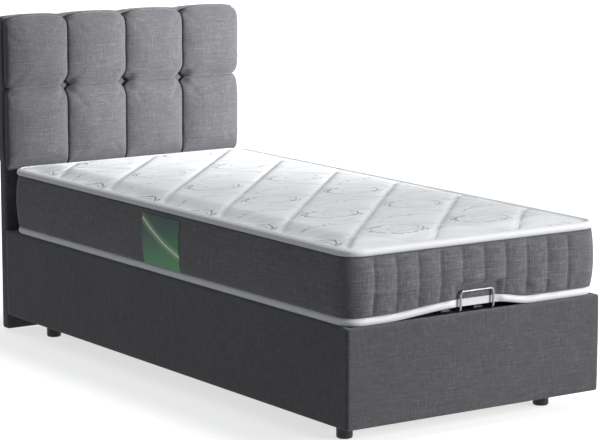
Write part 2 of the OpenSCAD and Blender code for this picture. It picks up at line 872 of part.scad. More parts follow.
left_side_board();
right_side_board();
foot_end_board();
head_end_board();
left_side_cover();
right_side_cover();
foot_end_cover();
corner_blocks();
feet();
foot_studs();
headboard_panel();
headboard_cover();
headboard_bolts();
cushion_lower(0);  // cushion_lower_1
cushion_lower(1);  // cushion_lower_2
cushion_lower(2);  // cushion_lower_3
cushion_lower(3);  // cushion_lower_4
cushion_upper(0);  // cushion_upper_1
cushion_upper(1);  // cushion_upper_2
cushion_upper(2);  // cushion_upper_3
cushion_upper(3);  // cushion_upper_4
frame_rails();
frame_cross_tubes();
frame_brackets();
frame_bolts();
rubber_pads();
hinge_pins();
seat_cross_tubes();
seat_deck();
seat_grip_strip();
drive_case_upper();
drive_case_lower();
drive_bolts();
drive_motors();
drive_spindles();
cable_gland();
back_drive_block();
leg_drive_block();
back_side_tubes();
back_cross_tubes();
back_lever();
back_deck();
back_grip_strips();
thigh_side_tubes();
thigh_cross_tubes();
thigh_lever();
thigh_deck();
thigh_grip_strip();
calf_side_tubes();
calf_cross_tubes();
calf_deck();
calf_grip_strips();
calf_links();
retainer_bar();
mattress_seat();
mattress_bend_1();
mattress_bend_2();
mattress_back();
mattress_thigh();
mattress_legs();
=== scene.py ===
"""A single adjustable bed: upholstered surround, tufted headboard, four-part deck and its mattress.

Metres, with X across the bed, +Y towards the headboard and the floor at Z 0.
"""

import json
import math

import bmesh
import bpy
import numpy as np
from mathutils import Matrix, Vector, noise


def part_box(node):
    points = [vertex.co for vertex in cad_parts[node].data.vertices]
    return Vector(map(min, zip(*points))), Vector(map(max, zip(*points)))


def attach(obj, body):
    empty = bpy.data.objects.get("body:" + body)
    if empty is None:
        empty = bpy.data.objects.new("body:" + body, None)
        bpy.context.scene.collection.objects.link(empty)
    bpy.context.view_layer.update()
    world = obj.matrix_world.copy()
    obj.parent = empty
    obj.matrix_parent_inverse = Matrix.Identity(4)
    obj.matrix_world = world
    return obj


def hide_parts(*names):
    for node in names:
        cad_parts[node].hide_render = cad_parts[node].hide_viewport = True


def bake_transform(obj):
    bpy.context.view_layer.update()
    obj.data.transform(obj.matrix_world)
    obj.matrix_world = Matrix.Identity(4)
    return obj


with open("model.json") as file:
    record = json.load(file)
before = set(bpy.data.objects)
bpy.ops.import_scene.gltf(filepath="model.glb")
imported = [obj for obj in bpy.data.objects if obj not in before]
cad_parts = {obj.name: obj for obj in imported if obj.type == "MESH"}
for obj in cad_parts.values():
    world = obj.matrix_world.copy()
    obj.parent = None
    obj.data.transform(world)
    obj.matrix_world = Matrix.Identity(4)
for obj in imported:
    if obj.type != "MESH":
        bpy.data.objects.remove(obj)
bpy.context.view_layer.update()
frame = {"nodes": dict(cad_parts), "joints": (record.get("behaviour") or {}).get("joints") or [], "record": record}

# ---------------------------------------------------------------- sizes taken from the frame


def span(*names):
    """Lowest and highest corners of several nodes together."""
    corners = [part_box(name) for name in names]
    low = Vector([min(c[0][k] for c in corners) for k in range(3)])
    high = Vector([max(c[1][k] for c in corners) for k in range(3)])
    return low, high


SURROUND_LO, SURROUND_HI = span("left_side_cover", "right_side_cover", "foot_end_cover")
BOARD_LO, BOARD_HI = span("left_side_board", "right_side_board", "foot_end_board")
HEAD_LO, HEAD_HI = span("headboard_cover")
MATTRESS_NODES = [f"mattress_{part}" for part in ("seat", "bend_1", "bend_2", "back", "thigh", "legs")]
MAT_LO, MAT_HI = span(*MATTRESS_NODES)

HALF_W = SURROUND_HI.x
FOOT_Y = SURROUND_LO.y
HEAD_Y = HEAD_LO.y
JOINTS = {joint["name"]: joint for joint in frame["joints"]}


def hinge_y(name):
    return JOINTS[name]["pos_m"][1]


# ---------------------------------------------------------------- small maths


def ramp(value, low, high):
    """Smooth step from 0 at low to 1 at high, on numbers or arrays."""
    t = np.clip((value - low) / (high - low), 0.0, 1.0)
    return t * t * (3 - 2 * t)


def crease(distance, width):
    """1 on a seam line, falling away on both sides of it."""
    return np.exp(-np.abs(distance) / width)


def ripple(points, size, seed=0.0):
    """Smooth noise between about -1 and 1 at each point; size is the length of one wave."""
    shift = Vector((seed, seed * 1.7, -seed))
    return np.array([noise.noise(Vector(p) / size + shift) for p in points])


# ---------------------------------------------------------------- meshes


def placed(name, data):
    """A new object in the scene."""
    obj = bpy.data.objects.new(name, data)
    bpy.context.scene.collection.objects.link(obj)
    return obj


def piece_from(name, verts, faces, finishes, indices=None, smooth=True):
    """A mesh object at the origin. Its rest place is kept as an attribute for the materials."""
    mesh = bpy.data.meshes.new(name)
    mesh.from_pydata([tuple(v) for v in verts], [], faces)
    obj = placed(name, mesh)
    for finish in finishes:
        mesh.materials.append(finish)
    if indices is not None:
        mesh.polygons.foreach_set("material_index", indices)
    close_up(obj, 1e-6)
    obj.data.polygons.foreach_set("use_smooth", [smooth] * len(obj.data.polygons))
    keep_rest(obj)
    return obj


def close_up(obj, distance):
    """Welds doubled points and turns every face outwards."""
    work = bmesh.new()
    work.from_mesh(obj.data)
    bmesh.ops.remove_doubles(work, verts=work.verts, dist=distance)
    bmesh.ops.dissolve_degenerate(work, edges=work.edges, dist=1e-7)
    bmesh.ops.recalc_face_normals(work, faces=work.faces)
    work.to_mesh(obj.data)
    work.free()


def keep_rest(obj):
    """Stores each point's place at rest, so that a pattern stays on cloth that bends."""
    mesh = obj.data
    if "rest" in mesh.attributes:
        mesh.attributes.remove(mesh.attributes["rest"])
    layer = mesh.attributes.new("rest", "FLOAT_VECTOR", "POINT")
    coords = np.empty(len(mesh.vertices) * 3, np.float32)
    mesh.vertices.foreach_get("co", coords)
    layer.data.foreach_set("vector", coords)


def coordinates(obj):
    coords = np.empty(len(obj.data.vertices) * 3)
    obj.data.vertices.foreach_get("co", coords)
    return coords.reshape(-1, 3)


def set_coordinates(obj, coords):
    obj.data.vertices.foreach_set("co", np.asarray(coords, np.float32).ravel())
    obj.data.update()


def grid_faces(rows, columns, first=0):
    """Quads of a grid whose points are stored row by row."""
    corner = [(r, c) for r in range(rows - 1) for c in range(columns - 1)]
    at = lambda r, c: first + r * columns + c
    return [(at(r, c), at(r, c + 1), at(r + 1, c + 1), at(r + 1, c)) for r, c in corner]


def rim_pairs(rows, columns):
    """Neighbouring points round the edge of a grid whose points are stored row by row."""
    at = lambda r, c: r * columns + c
    rim = [at(0, c) for c in range(columns)] + [at(r, columns - 1) for r in range(1, rows)]
    rim += [at(rows - 1, c) for c in range(columns - 2, -1, -1)] + [at(r, 0) for r in range(rows - 2, 0, -1)]
    return list(zip(rim, rim[1:] + rim[:1]))


def slab(front, back, rows, columns):
    """Points and faces of a closed slab between two grids of points stored row by row."""
    count = rows * columns
    faces = grid_faces(rows, columns) + grid_faces(rows, columns, count)
    faces += [(a, b, b + count, a + count) for a, b in rim_pairs(rows, columns)]
    return np.concatenate([front, back]), faces


def tube_faces(rings, wrap):
    """Quads between closed rings of points stored ring by ring."""
    faces = []
    for r in range(rings - 1):
        for c in range(wrap):
            d = (c + 1) % wrap
            faces.append((r * wrap + c, r * wrap + d, (r + 1) * wrap + d, (r + 1) * wrap + c))
    return faces


def baked(obj):
    """The object with its modifiers turned into a plain mesh."""
    graph = bpy.context.evaluated_depsgraph_get()
    result = placed(obj.name, bpy.data.meshes.new_from_object(obj.evaluated_get(graph)))
    bpy.data.objects.remove(obj)
    result.name = result.name.split(".")[0]
    return result


# ---------------------------------------------------------------- graphs for materials and geometry


def maths(operation, reflected=False):
    """A method that adds one Math node, with the wire first or, when reflected, last."""
    def method(self, *others):
        values = (*others, self) if reflected else (self, *others)
        return self.graph.add("ShaderNodeMath", {"operation": operation}, dict(enumerate(values)))
    return method


class Wire:
    """An output socket of a graph. Arithmetic on it adds Math nodes."""

    def __init__(self, graph, socket):
        self.graph = graph
        self.socket = socket

    __add__, __radd__ = maths("ADD"), maths("ADD", True)
    __sub__, __rsub__ = maths("SUBTRACT"), maths("SUBTRACT", True)
    __mul__, __rmul__ = maths("MULTIPLY"), maths("MULTIPLY", True)
    __truediv__, __rtruediv__ = maths("DIVIDE"), maths("DIVIDE", True)
    __pow__ = maths("POWER")
    __abs__ = maths("ABSOLUTE")
    sin = maths("SINE")
    root = maths("SQRT")
    floor = maths("FLOOR")
    least = maths("MINIMUM")
    most = maths("MAXIMUM")

    def wave(self, pitch):
        """A sine that repeats every pitch."""
        return (self * (2 * math.pi / pitch)).sin()


class Graph:
    """A node tree that is built from Python expressions."""

    def __init__(self, tree):
        self.tree = tree
        self.tree.nodes.clear()

    def add(self, kind, settings=None, inputs=None, output=0):
        """Adds a node: its settings first, then the values or links of its sockets."""
        node = self.tree.nodes.new(kind)
        for key, value in (settings or {}).items():
            if key == "stops":
                self._set_stops(node.color_ramp, value)
            else:
                setattr(node, key, value)
        for key, value in (inputs or {}).items():
            if isinstance(value, Wire):
                self.tree.links.new(value.socket, node.inputs[key])
            else:
                node.inputs[key].default_value = value
        self.last = node
        return Wire(self, node.outputs[output]) if node.outputs else node

    def _set_stops(self, colour_ramp, stops):
        while len(colour_ramp.elements) > len(stops):
            colour_ramp.elements.remove(colour_ramp.elements[-1])
        while len(colour_ramp.elements) < len(stops):
            colour_ramp.elements.new(1.0)
        for element, (position, colour) in zip(colour_ramp.elements, stops):
            element.position = position
            element.color = colour


class Finish(Graph):
    """A material. Constants are set on its shader; what changes over the surface is wired in."""

    def __init__(self, name, **constants):
        self.material = bpy.data.materials.new(name)
        self.material.use_nodes = True
        super().__init__(self.material.node_tree)
        surface = self.add("ShaderNodeBsdfPrincipled")
        self.shader = self.last
        self.add("ShaderNodeOutputMaterial", None, {"Surface": surface})
        for key, value in constants.items():
            self.shader.inputs[key.replace("_", " ")].default_value = value

    def paint(self, **wires):
        for key, wire in wires.items():
            self.tree.links.new(wire.socket, self.shader.inputs[key.replace("_", " ")])
        return self.material

    def place(self, on_cloth):
        """Where a point is: its rest attribute on cloth pieces, its object's coordinates on CAD nodes."""
        if on_cloth:
            return self.add("ShaderNodeAttribute", {"attribute_name": "rest"}, output="Vector")
        return self.add("ShaderNodeTexCoord", output="Object")

    def axes(self, vector):
        self.add("ShaderNodeSeparateXYZ", None, {0: vector})
        return [Wire(self, self.last.outputs[k]) for k in range(3)]

    def stretch(self, vector, factors):
        return self.add("ShaderNodeVectorMath", {"operation": "MULTIPLY"}, {0: vector, 1: factors})

    def clouds(self, vector, scale, detail=2.0, roughness=0.5):
        sizes = {"Vector": vector, "Scale": scale, "Detail": detail, "Roughness": roughness}
        return self.add("ShaderNodeTexNoise", None, sizes)

    def fibres(self, vector, factors, detail=2.0, roughness=0.5):
        """Clouds drawn out along the axis with the smallest factor."""
        return self.clouds(self.stretch(vector, factors), 1.0, detail, roughness)

    def speck(self, vector, scale, output="Distance"):
        return self.add("ShaderNodeTexVoronoi", None, {"Vector": vector, "Scale": scale}, output)

    def step(self, value, low, high):
        """0 below low and 1 above high, smoothly between; low may be the larger one."""
        inputs = {"Value": value, "From Min": low, "From Max": high}
        return self.add("ShaderNodeMapRange", {"interpolation_type": "SMOOTHSTEP"}, inputs)

    def mix(self, factor, first, second):
        """Colours mixed by a factor."""
        inputs = {0: factor, 6: self.colour(first), 7: self.colour(second)}
        return self.add("ShaderNodeMix", {"data_type": "RGBA"}, inputs, 2)

    def colour(self, value):
        return value if isinstance(value, Wire) else (*value, 1.0)

    def tones(self, factor, dark, middle, light, turn=0.5):
        """Three colours along a ramp, with the middle one at turn."""
        stops = [(0.0, (*dark, 1.0)), (turn, (*middle, 1.0)), (1.0, (*light, 1.0))]
        return self.add("ShaderNodeValToRGB", {"stops": stops}, {0: factor})

    def bump(self, height, distance, strength=1.0):
        inputs = {"Height": height, "Distance": distance, "Strength": strength}
        return self.add("ShaderNodeBump", None, inputs)


# ---------------------------------------------------------------- cloth materials


def thread_waves(x, y, z, pitch):
    """The over and under of a plain weave, from 0 to 1, with threads upright and across."""
    upright = (x + y).wave(pitch)
    across = z.wave(pitch)
    return 0.5 + 0.25 * upright + 0.25 * across


def linen(name, dark, middle, light, slub=1.0):
    """Plain weave of uneven yarn: long and short slubs both ways, and a soft change of tone."""
    finish = Finish(name, Roughness=0.92, Sheen_Weight=0.25, Sheen_Roughness=0.5, Specular_IOR_Level=0.2)
    place = finish.place(True)
    x, y, z = finish.axes(place)
    upright = finish.fibres(place, (330, 330, 20), 2.0, 0.6)
    across = finish.fibres(place, (20, 20, 330), 2.0, 0.6)
    fine_upright = finish.fibres(place, (700, 700, 60), 1.0)
    fine_across = finish.fibres(place, (60, 60, 700), 1.0)
    tone = finish.clouds(place, 3.5, 2.0)
    slubs = finish.step(upright, 0.52, 0.74) + finish.step(across, 0.52, 0.74)
    thin = finish.step(upright, 0.46, 0.28) + finish.step(across, 0.46, 0.28)
    grain = (fine_upright + fine_across) * 0.5
    lightness = 0.46 + (slubs - thin) * (0.17 * slub) + (grain - 0.5) * 0.8 + (tone - 0.5) * 0.2
    base = finish.tones(lightness, dark, middle, light)
    weave = thread_waves(x, y, z, 0.0016)
    height = weave * 0.4 + slubs * 0.6 + grain * 0.5
    return finish.paint(Base_Color=base, Normal=finish.bump(height, 0.0007, 0.7))


def tape_cloth(name, colour, shade):
    """Smooth knitted tape with fine ribs that slant along it."""
    finish = Finish(name, Roughness=0.75, Sheen_Weight=0.2, Specular_IOR_Level=0.25)
    place = finish.place(True)
    x, y, z = finish.axes(place)
    ribs = (x + y + z * 0.6).wave(0.0045) * 0.5 + 0.5
    dust = finish.clouds(place, 60.0, 3.0)
    base = finish.mix(ribs * 0.35 + dust * 0.3, shade, colour)
    return finish.paint(Base_Color=base, Normal=finish.bump(ribs * 0.6 + dust, 0.0006, 0.6))


def dust_cloth():
    """Black felted sheet with pressed dots."""
    finish = Finish("spunbond_cloth", Roughness=0.95, Specular_IOR_Level=0.15)
    place = finish.place(True)
    dots = finish.step(finish.speck(place, 320.0), 0.35, 0.15)
    fibre = finish.fibres(place, (90, 90, 140), 4.0, 0.7)
    base = finish.mix(fibre, (0.012, 0.012, 0.013), (0.045, 0.045, 0.047))
    return finish.paint(Base_Color=base, Normal=finish.bump(fibre - dots * 0.8, 0.0006, 0.6))


QUILT_SLOPE_A = 1.07
QUILT_SLOPE_B = -0.98
QUILT_STEP = 0.325
QUILT_START_A = 0.46
QUILT_START_B = 0.10


def quilt_lines(x, y):
    """How many seams of each family a place lies past the first one, on numbers or wires."""
    line_a = (y - x * QUILT_SLOPE_A - QUILT_START_A) / QUILT_STEP
    line_b = (y - x * QUILT_SLOPE_B - QUILT_START_B) / QUILT_STEP
    return line_a, line_b


def quilted_top():
    """White knitted cover with a soft wavy relief and sketched loops and sprigs between the seams."""
    finish = Finish("quilted_cover", Roughness=0.82, Sheen_Weight=0.3, Specular_IOR_Level=0.25)
    place = finish.place(True)
    x, y = finish.axes(place)[:2]
    line_a, line_b = quilt_lines(x, y)
    cell_a = line_a - line_a.floor() - 0.5
    cell_b = line_b - line_b.floor() - 0.5
    # Places inside a quilted diamond: across the bed and along it
    across = (cell_b - cell_a) * (QUILT_STEP / (QUILT_SLOPE_A - QUILT_SLOPE_B))
    along = (cell_a + cell_b) * (QUILT_STEP / 2)
    checks = ((line_a.floor() + line_b.floor()) * 0.5).floor() * 2.0 - (line_a.floor() + line_b.floor())
    odd = abs(checks).least(1.0)
    wobble = finish.clouds(place, 38.0, 2.0) - 0.5
    fade = finish.step(finish.clouds(place, 55.0, 1.0), 0.34, 0.50)
    beside_seam = (0.5 - abs(cell_a)).least(0.5 - abs(cell_b))
    # Masks for the thread line on each seam and the groove beside it; below they carry a painted highlight and
    # painted shade
    thread = finish.step(beside_seam, 0.012, 0.005)
    groove = finish.step(beside_seam, 0.050, 0.012)

    def loop(centre, size, width):
        reach = (((across - centre[0]) / size[0]) ** 2.0 + ((along - centre[1]) / size[1]) ** 2.0).root()
        return finish.step(abs(reach - 1.0 + wobble * 0.16), width, width * 0.35)

    def leaf(centre, size, slant):
        u = (across - centre[0]) + (along - centre[1]) * slant
        v = (along - centre[1]) - (across - centre[0]) * slant
        reach = ((u / size[0]) ** 2.0 + (v / size[1]) ** 2.0).root()
        return finish.step(abs(reach - 0.9 + wobble * 0.25), 0.34, 0.12)

    loops = loop((0.0, 0.0), (0.088, 0.062), 0.05).most(loop((0.018, -0.006), (0.052, 0.036), 0.06) * 0.6)
    sprig = leaf((-0.070, 0.040), (0.030, 0.007), 0.55)
    for centre, slant in (((-0.045, 0.062), -0.4), ((-0.088, 0.012), 1.1), ((0.060, -0.050), 0.3)):
        sprig = sprig.most(leaf(centre, (0.026, 0.006), slant))
    drawn = loops.most(sprig) * (1.0 - odd)
    twig = loop((0.0, -0.15), (0.20, 0.155), 0.012)
    for k in range(4):
        centre = (-0.055 + 0.036 * k, 0.006 + 0.010 * (k % 2))
        twig = twig.most(leaf(centre, (0.016, 0.0055), -0.9 if k % 2 else 0.8))
    drawn = drawn.most(twig * odd * 0.8) * fade
    tufts = finish.fibres(place, (220, 420, 220), 2.0)
    waves = (y * 1.0 + (x * 16.0).sin() * 0.012).wave(0.052)
    soft = finish.clouds(place, 9.0, 2.0)
    white = finish.mix(soft, (0.70, 0.725, 0.75), (0.83, 0.84, 0.85))
    base = finish.mix(drawn * (1.0 - groove) * 0.9, white, (0.19, 0.155, 0.155))
    # Painted shade: the cover is darkened along each seam's groove
    base = finish.mix(groove * 0.22, base, (0.42, 0.43, 0.46))
    # The line on each seam is lighter than the cover: partly the white thread, partly a painted highlight
    base = finish.mix(thread * 0.9, base, (0.92, 0.925, 0.93))
    height = (waves * 0.55 + tufts * 0.5) * (1.0 - groove) - drawn * 0.3
    return finish.paint(Base_Color=base, Normal=finish.bump(height, 0.0016, 0.55))


def label_finish():
    """A woven label: green cloth with a pale sweeping leaf."""
    finish = Finish("label_cloth", Roughness=0.45, Specular_IOR_Level=0.4)
    place = finish.place(True)
    y, z = finish.axes(place)[1:]
    low, high = LABEL_Z
    up = (z - low) / (high - low)
    along = (y - LABEL_Y[0]) / (LABEL_Y[1] - LABEL_Y[0])
    green = finish.mix(finish.step(up + along * 0.4, 0.1, 1.1), (0.010, 0.24, 0.065), (0.004, 0.060, 0.050))
    leaf_line = up - 0.30 - along * 0.62 + ((along * 3.0).sin() * 0.06)
    glow = finish.step(abs(leaf_line), 0.16, 0.0)
    edge = finish.step(abs(leaf_line), 0.034, 0.006)
    base = finish.mix(glow * 0.40, green, (0.42, 0.85, 0.30))
    base = finish.mix(edge * 0.95, base, (0.90, 0.95, 0.88))
    return finish.paint(Base_Color=base, Normal=finish.bump(z.wave(0.0012), 0.0002, 0.4))


# ---------------------------------------------------------------- rows of stitches and staples


def row_tree():
    """Lays a short rod at even steps along each line of a mesh, turned along the line."""
    tree = bpy.data.node_groups.new("rod_row", "GeometryNodeTree")
    tree.interface.new_socket("Lines", in_out="INPUT", socket_type="NodeSocketGeometry")
    for label in ("Pitch", "Length", "Thickness"):
        tree.interface.new_socket(label, in_out="INPUT", socket_type="NodeSocketFloat")
    tree.interface.new_socket("Finish", in_out="INPUT", socket_type="NodeSocketMaterial")
    tree.interface.new_socket("Rods", in_out="OUTPUT", socket_type="NodeSocketGeometry")
    row = Graph(tree)
    lines = row.add("NodeGroupInput", output="Lines")
    given = {socket.name: Wire(row, socket) for socket in row.last.outputs}
    curve = row.add("GeometryNodeMeshToCurve", None, {"Mesh": lines})
    steps = {"Curve": curve, "Length": given["Pitch"]}
    even = row.add("GeometryNodeResampleCurve", {"mode": "LENGTH"}, steps)
    tangent = row.add("GeometryNodeInputTangent")
    # The tilt of each rod differs a little, by a fixed seed
    shake = row.add("FunctionNodeRandomValue", {"data_type": "FLOAT_VECTOR"},
                    {"Min": (-0.06, -0.06, -0.06), "Max": (0.06, 0.06, 0.06), "Seed": 11})
    lean = row.add("ShaderNodeVectorMath", {"operation": "ADD"}, {0: tangent, 1: shake})
    turn = row.add("FunctionNodeAlignRotationToVector", {"axis": "Z"}, {"Vector": lean})
    rod = row.add("GeometryNodeMeshCylinder", {"fill_type": "NGON"},
                  {"Vertices": 6, "Radius": given["Thickness"] * 0.5, "Depth": given["Length"]})
    rods = row.add("GeometryNodeInstanceOnPoints", None, {"Points": even, "Instance": rod, "Rotation": turn})
    real = row.add("GeometryNodeRealizeInstances", None, {"Geometry": rods})
    made = row.add("GeometryNodeSetMaterial", None, {"Geometry": real, "Material": given["Finish"]})
    row.add("NodeGroupOutput", None, {"Rods": made})
    return tree


ROD_ROW = row_tree()


def rods_along(name, lines, pitch, length, thickness, finish):
    """One plain mesh of rods along several lines of points."""
    verts, edges = [], []
    for line in lines:
        first = len(verts)
        verts += [tuple(p) for p in line]
        edges += [(first + k, first + k + 1) for k in range(len(line) - 1)]
    mesh = bpy.data.meshes.new(name)
    mesh.from_pydata(verts, edges, [])
    obj = placed(name, mesh)
    rods = obj.modifiers.new("rods", "NODES")
    rods.node_group = ROD_ROW
    names = {item.name: item.identifier for item in ROD_ROW.interface.items_tree if item.in_out == "INPUT"}
    for label, value in (("Pitch", pitch), ("Length", length), ("Thickness", thickness), ("Finish", finish)):
        rods[names[label]] = value
    obj = baked(obj)
    keep_rest(obj)
    return obj


# ---------------------------------------------------------------- hard materials


def coated_steel(name, dark, light):
    """Powder coat: fine orange peel with dust in it."""
    finish = Finish(name, Roughness=0.5, Metallic=0.0, Specular_IOR_Level=0.45)
    place = finish.place(False)
    peel = finish.clouds(place, 900.0, 2.0)
    wear = finish.clouds(place, 14.0, 4.0, 0.65)
    base = finish.mix(finish.step(wear, 0.35, 0.75), dark, light)
    roughness = 0.42 + wear * 0.2
    return finish.paint(Base_Color=base, Roughness=roughness, Normal=finish.bump(peel, 0.0002, 0.5))


def bare_metal(name, dark, light, rough, grain=(40, 40, 900)):
    """Plated or brushed metal with drawn lines and a cloudy plating."""
    finish = Finish(name, Metallic=1.0, Roughness=rough)
    place = finish.place(False)
    lines = finish.fibres(place, grain, 3.0, 0.6)
    cloudy = finish.clouds(place, 25.0, 3.0)
    base = finish.mix(lines * 0.5 + cloudy * 0.5, dark, light)
    roughness = rough + (cloudy - 0.5) * 0.12 + (lines - 0.5) * 0.1
    return finish.paint(Base_Color=base, Roughness=roughness, Normal=finish.bump(lines, 0.0001, 0.3))


def pressed_wood(name, dark, middle, light, chip):
    """Particle or fibre board: flakes of several tones pressed together."""
    finish = Finish(name, Roughness=0.8, Specular_IOR_Level=0.3)
    place = finish.place(False)
    flakes = finish.speck(finish.stretch(place, (1.0, 0.45, 1.0)), chip, "Color")
    flake = finish.axes(flakes)[0]
    fibre = finish.fibres(place, (900, 160, 900), 2.0)
    base = finish.tones(flake * 0.7 + fibre * 0.3, dark, middle, light, 0.45)
    return finish.paint(Base_Color=base, Normal=finish.bump(fibre + flake * 0.6, 0.0005, 0.5))


def moulded(name, dark, light, roughness=0.5, texture=1200.0):
    """Moulded plastic with spark-eroded texture."""
    finish = Finish(name, Roughness=roughness, Specular_IOR_Level=0.4)
    place = finish.place(False)
    pits = finish.clouds(place, texture, 1.0)
    cast = finish.clouds(place, 12.0, 3.0)
    base = finish.mix(cast, dark, light)
    gloss = roughness - 0.08 + cast * 0.16
    return finish.paint(Base_Color=base, Roughness=gloss, Normal=finish.bump(pits, 0.0003, 0.5))


def ribbed_rubber():
    """Black rubber with fine ribs across it, dusty in patches."""
    finish = Finish("ribbed_rubber", Roughness=0.85, Specular_IOR_Level=0.25)
    place = finish.place(False)
    ribs = finish.axes(place)[1].wave(0.005) * 0.5 + 0.5
    dust = finish.clouds(place, 30.0, 4.0, 0.7)
    base = finish.mix(dust * 0.7, (0.012, 0.012, 0.012), (0.055, 0.055, 0.053))
    return finish.paint(Base_Color=base, Normal=finish.bump(ribs + dust * 0.3, 0.0008, 0.8))


LABEL_Y = (-0.143, 0.073)
LABEL_Z = (0.378, 0.536)

surround_linen = linen("surround_linen", (0.046, 0.046, 0.051), (0.094, 0.093, 0.101), (0.185, 0.185, 0.197))
border_linen = linen("border_linen", (0.062, 0.060, 0.066), (0.14, 0.136, 0.146), (0.30, 0.292, 0.305), 1.3)
white_tape = tape_cloth("white_tape", (0.90, 0.905, 0.915), (0.76, 0.77, 0.80))
under_cloth = tape_cloth("underside_cloth", (0.34, 0.34, 0.36), (0.24, 0.24, 0.26))
thread_white = tape_cloth("sewing_thread", (0.80, 0.80, 0.82), (0.62, 0.62, 0.66))
black_cloth = dust_cloth()
cover_white = quilted_top()
green_label = label_finish()

HARD = {
    "board": pressed_wood("raw_board", (0.30, 0.19, 0.10), (0.52, 0.38, 0.24), (0.70, 0.56, 0.40), 420.0),
    # Painted shade: the deck boards are near-black so that the gap under the mattress looks dark
    "deck_board": moulded("deck_board_painted_shade", (0.018, 0.018, 0.020), (0.045, 0.045, 0.048), 0.9, 700.0),
    "foot_black": moulded("black_foot", (0.006, 0.006, 0.007), (0.022, 0.022, 0.023), 0.42),
    "zinc": bare_metal("zinc_plate", (0.42, 0.43, 0.45), (0.72, 0.73, 0.74), 0.32),
    "frame_grey": coated_steel("powder_coat", (0.045, 0.048, 0.052), (0.085, 0.088, 0.094)),
    "rubber": ribbed_rubber(),
    "drive_plastic": moulded("drive_plastic", (0.035, 0.036, 0.038), (0.07, 0.071, 0.075), 0.55),
    "motor_metal": bare_metal("motor_can", (0.30, 0.31, 0.33), (0.55, 0.56, 0.58), 0.38, (500, 30, 500)),
    "bright_wire": bare_metal("bright_wire", (0.15, 0.15, 0.16), (0.33, 0.33, 0.34), 0.36, (30, 30, 30)),
}
for entry in frame["record"]["subparts"]:
    if entry["material_slot"] in HARD:
        for slot in frame["nodes"][entry["node"]].material_slots:
            slot.material = HARD[entry["material_slot"]]

# ---------------------------------------------------------------- mattress

MAT_X = MAT_HI.x
MAT_R = 0.060
MAT_H = MAT_HI.z - MAT_LO.z
BAND_H = 0.022
TAPE_Z = 0.197
FOOT_CHANNELS = [-0.369 + 0.078 * k for k in range(10)]
FOOT_ROWS = (0.078, 0.118, 0.162)
# Places along the bed where one length of the mattress meets the next
CUTS = [MAT_LO.y, -0.21, hinge_y("mattress_bend_low") - 0.052, hinge_y("mattress_bend_middle") - 0.055,
        hinge_y("mattress_bend_high") - 0.055, MAT_HI.y]


def side_profile():
    """Height and outward offset of the mattress's side, from the underside to the top's edge."""
    points = [(0.0005, -0.012), (0.0, -0.006)]
    for k in range(7):
        a = math.pi * k / 6
        points.append((0.0015 + (BAND_H - 0.002) * k / 6, -0.003 + 0.005 * math.sin(a) ** 0.6))
    points += [(BAND_H + 0.0005, -0.0055), (BAND_H + 0.002, -0.0045)]
    rows = 30
    for k in range(rows + 1):
        s = k / rows
        swell = math.sin(math.pi * (0.04 + 0.92 * s)) ** 0.7
        points.append((BAND_H + 0.003 + (TAPE_Z - BAND_H - 0.005) * s, -0.003 + 0.0115 * swell))
    points += [(TAPE_Z - 0.001, -0.0045), (TAPE_Z + 0.0005, -0.0055)]
    for k in range(9):
        a = math.pi * k / 8
        points.append((TAPE_Z + 0.0105 - 0.0095 * math.cos(a), -0.003 + 0.0080 * math.sin(a) ** 0.7))
    points += [(MAT_H - 0.0005, -0.0065), (MAT_H - 0.0005, -0.0110), (MAT_H - 0.0035, -0.0150)]
    return points


def foot_lift(x, depth):
    """How far the retainer bar's legs lift the underside at the foot end."""
    rise = ramp(x, -0.34, -0.07) * (1 - ramp(x, 0.07, 0.20))
    return 0.0165 * rise * (1 - ramp(depth, 0.0, 0.30))


def quilt_height(x, y):
    """Relief of the quilted top: soft diamonds between two families of seams."""
    run_a = 1 / math.hypot(1, QUILT_SLOPE_A)
    run_b = 1 / math.hypot(1, QUILT_SLOPE_B)
    a, b = quilt_lines(x, y)
    off_a = (a - np.round(a)) * QUILT_STEP * run_a
    off_b = (b - np.round(b)) * QUILT_STEP * run_b
    seams = np.maximum(crease(off_a, 0.0085), 0.8 * crease(off_b, 0.0085))
    soft = np.maximum(crease(off_a, 0.034), crease(off_b, 0.034))
    return -0.0042 * seams - 0.0026 * soft


def top_height(x, y):
    """Height of the quilted top over its edge."""
    inside = np.minimum(MAT_X - np.abs(x), np.minimum(y - MAT_LO.y, MAT_HI.y - y)) - 0.015
    rise = 0.0165 * ramp(inside, -0.004, 0.10) + 0.002 * ramp(inside, -0.002, 0.02)
    return rise + quilt_height(x, y) * ramp(inside, -0.002, 0.035)


def foot_relief(x, z, facing):
    """Sewn channels, quilting rows and puckers of the border at the foot end."""
    nearest = np.min(np.abs(x[:, None] - np.array(FOOT_CHANNELS)[None, :]), axis=1)
    body = ramp(z, BAND_H, BAND_H + 0.012) * (1 - ramp(z, TAPE_Z - 0.012, TAPE_Z - 0.001))
    inner = 1 - ramp(np.abs(x + 0.018), 0.36, 0.40)
    channel = -0.0062 * crease(nearest, 0.0042) + 0.0034 * ramp(nearest, 0.002, 0.036)
    rows = sum(-0.0020 * crease(z - row, 0.004) for row in FOOT_ROWS)
    points = np.stack([x + z * 0.25, z * 0.5, np.zeros_like(x)], axis=1)
    pucker = ripple(points, 0.019, 3.0) * 0.0042 + ripple(points, 0.010, 9.0) * 0.0014
    low = 0.12 + 0.88 * (1 - ramp(z, 0.055, 0.10))
    return (channel * inner + rows * inner + pucker * low) * body * facing


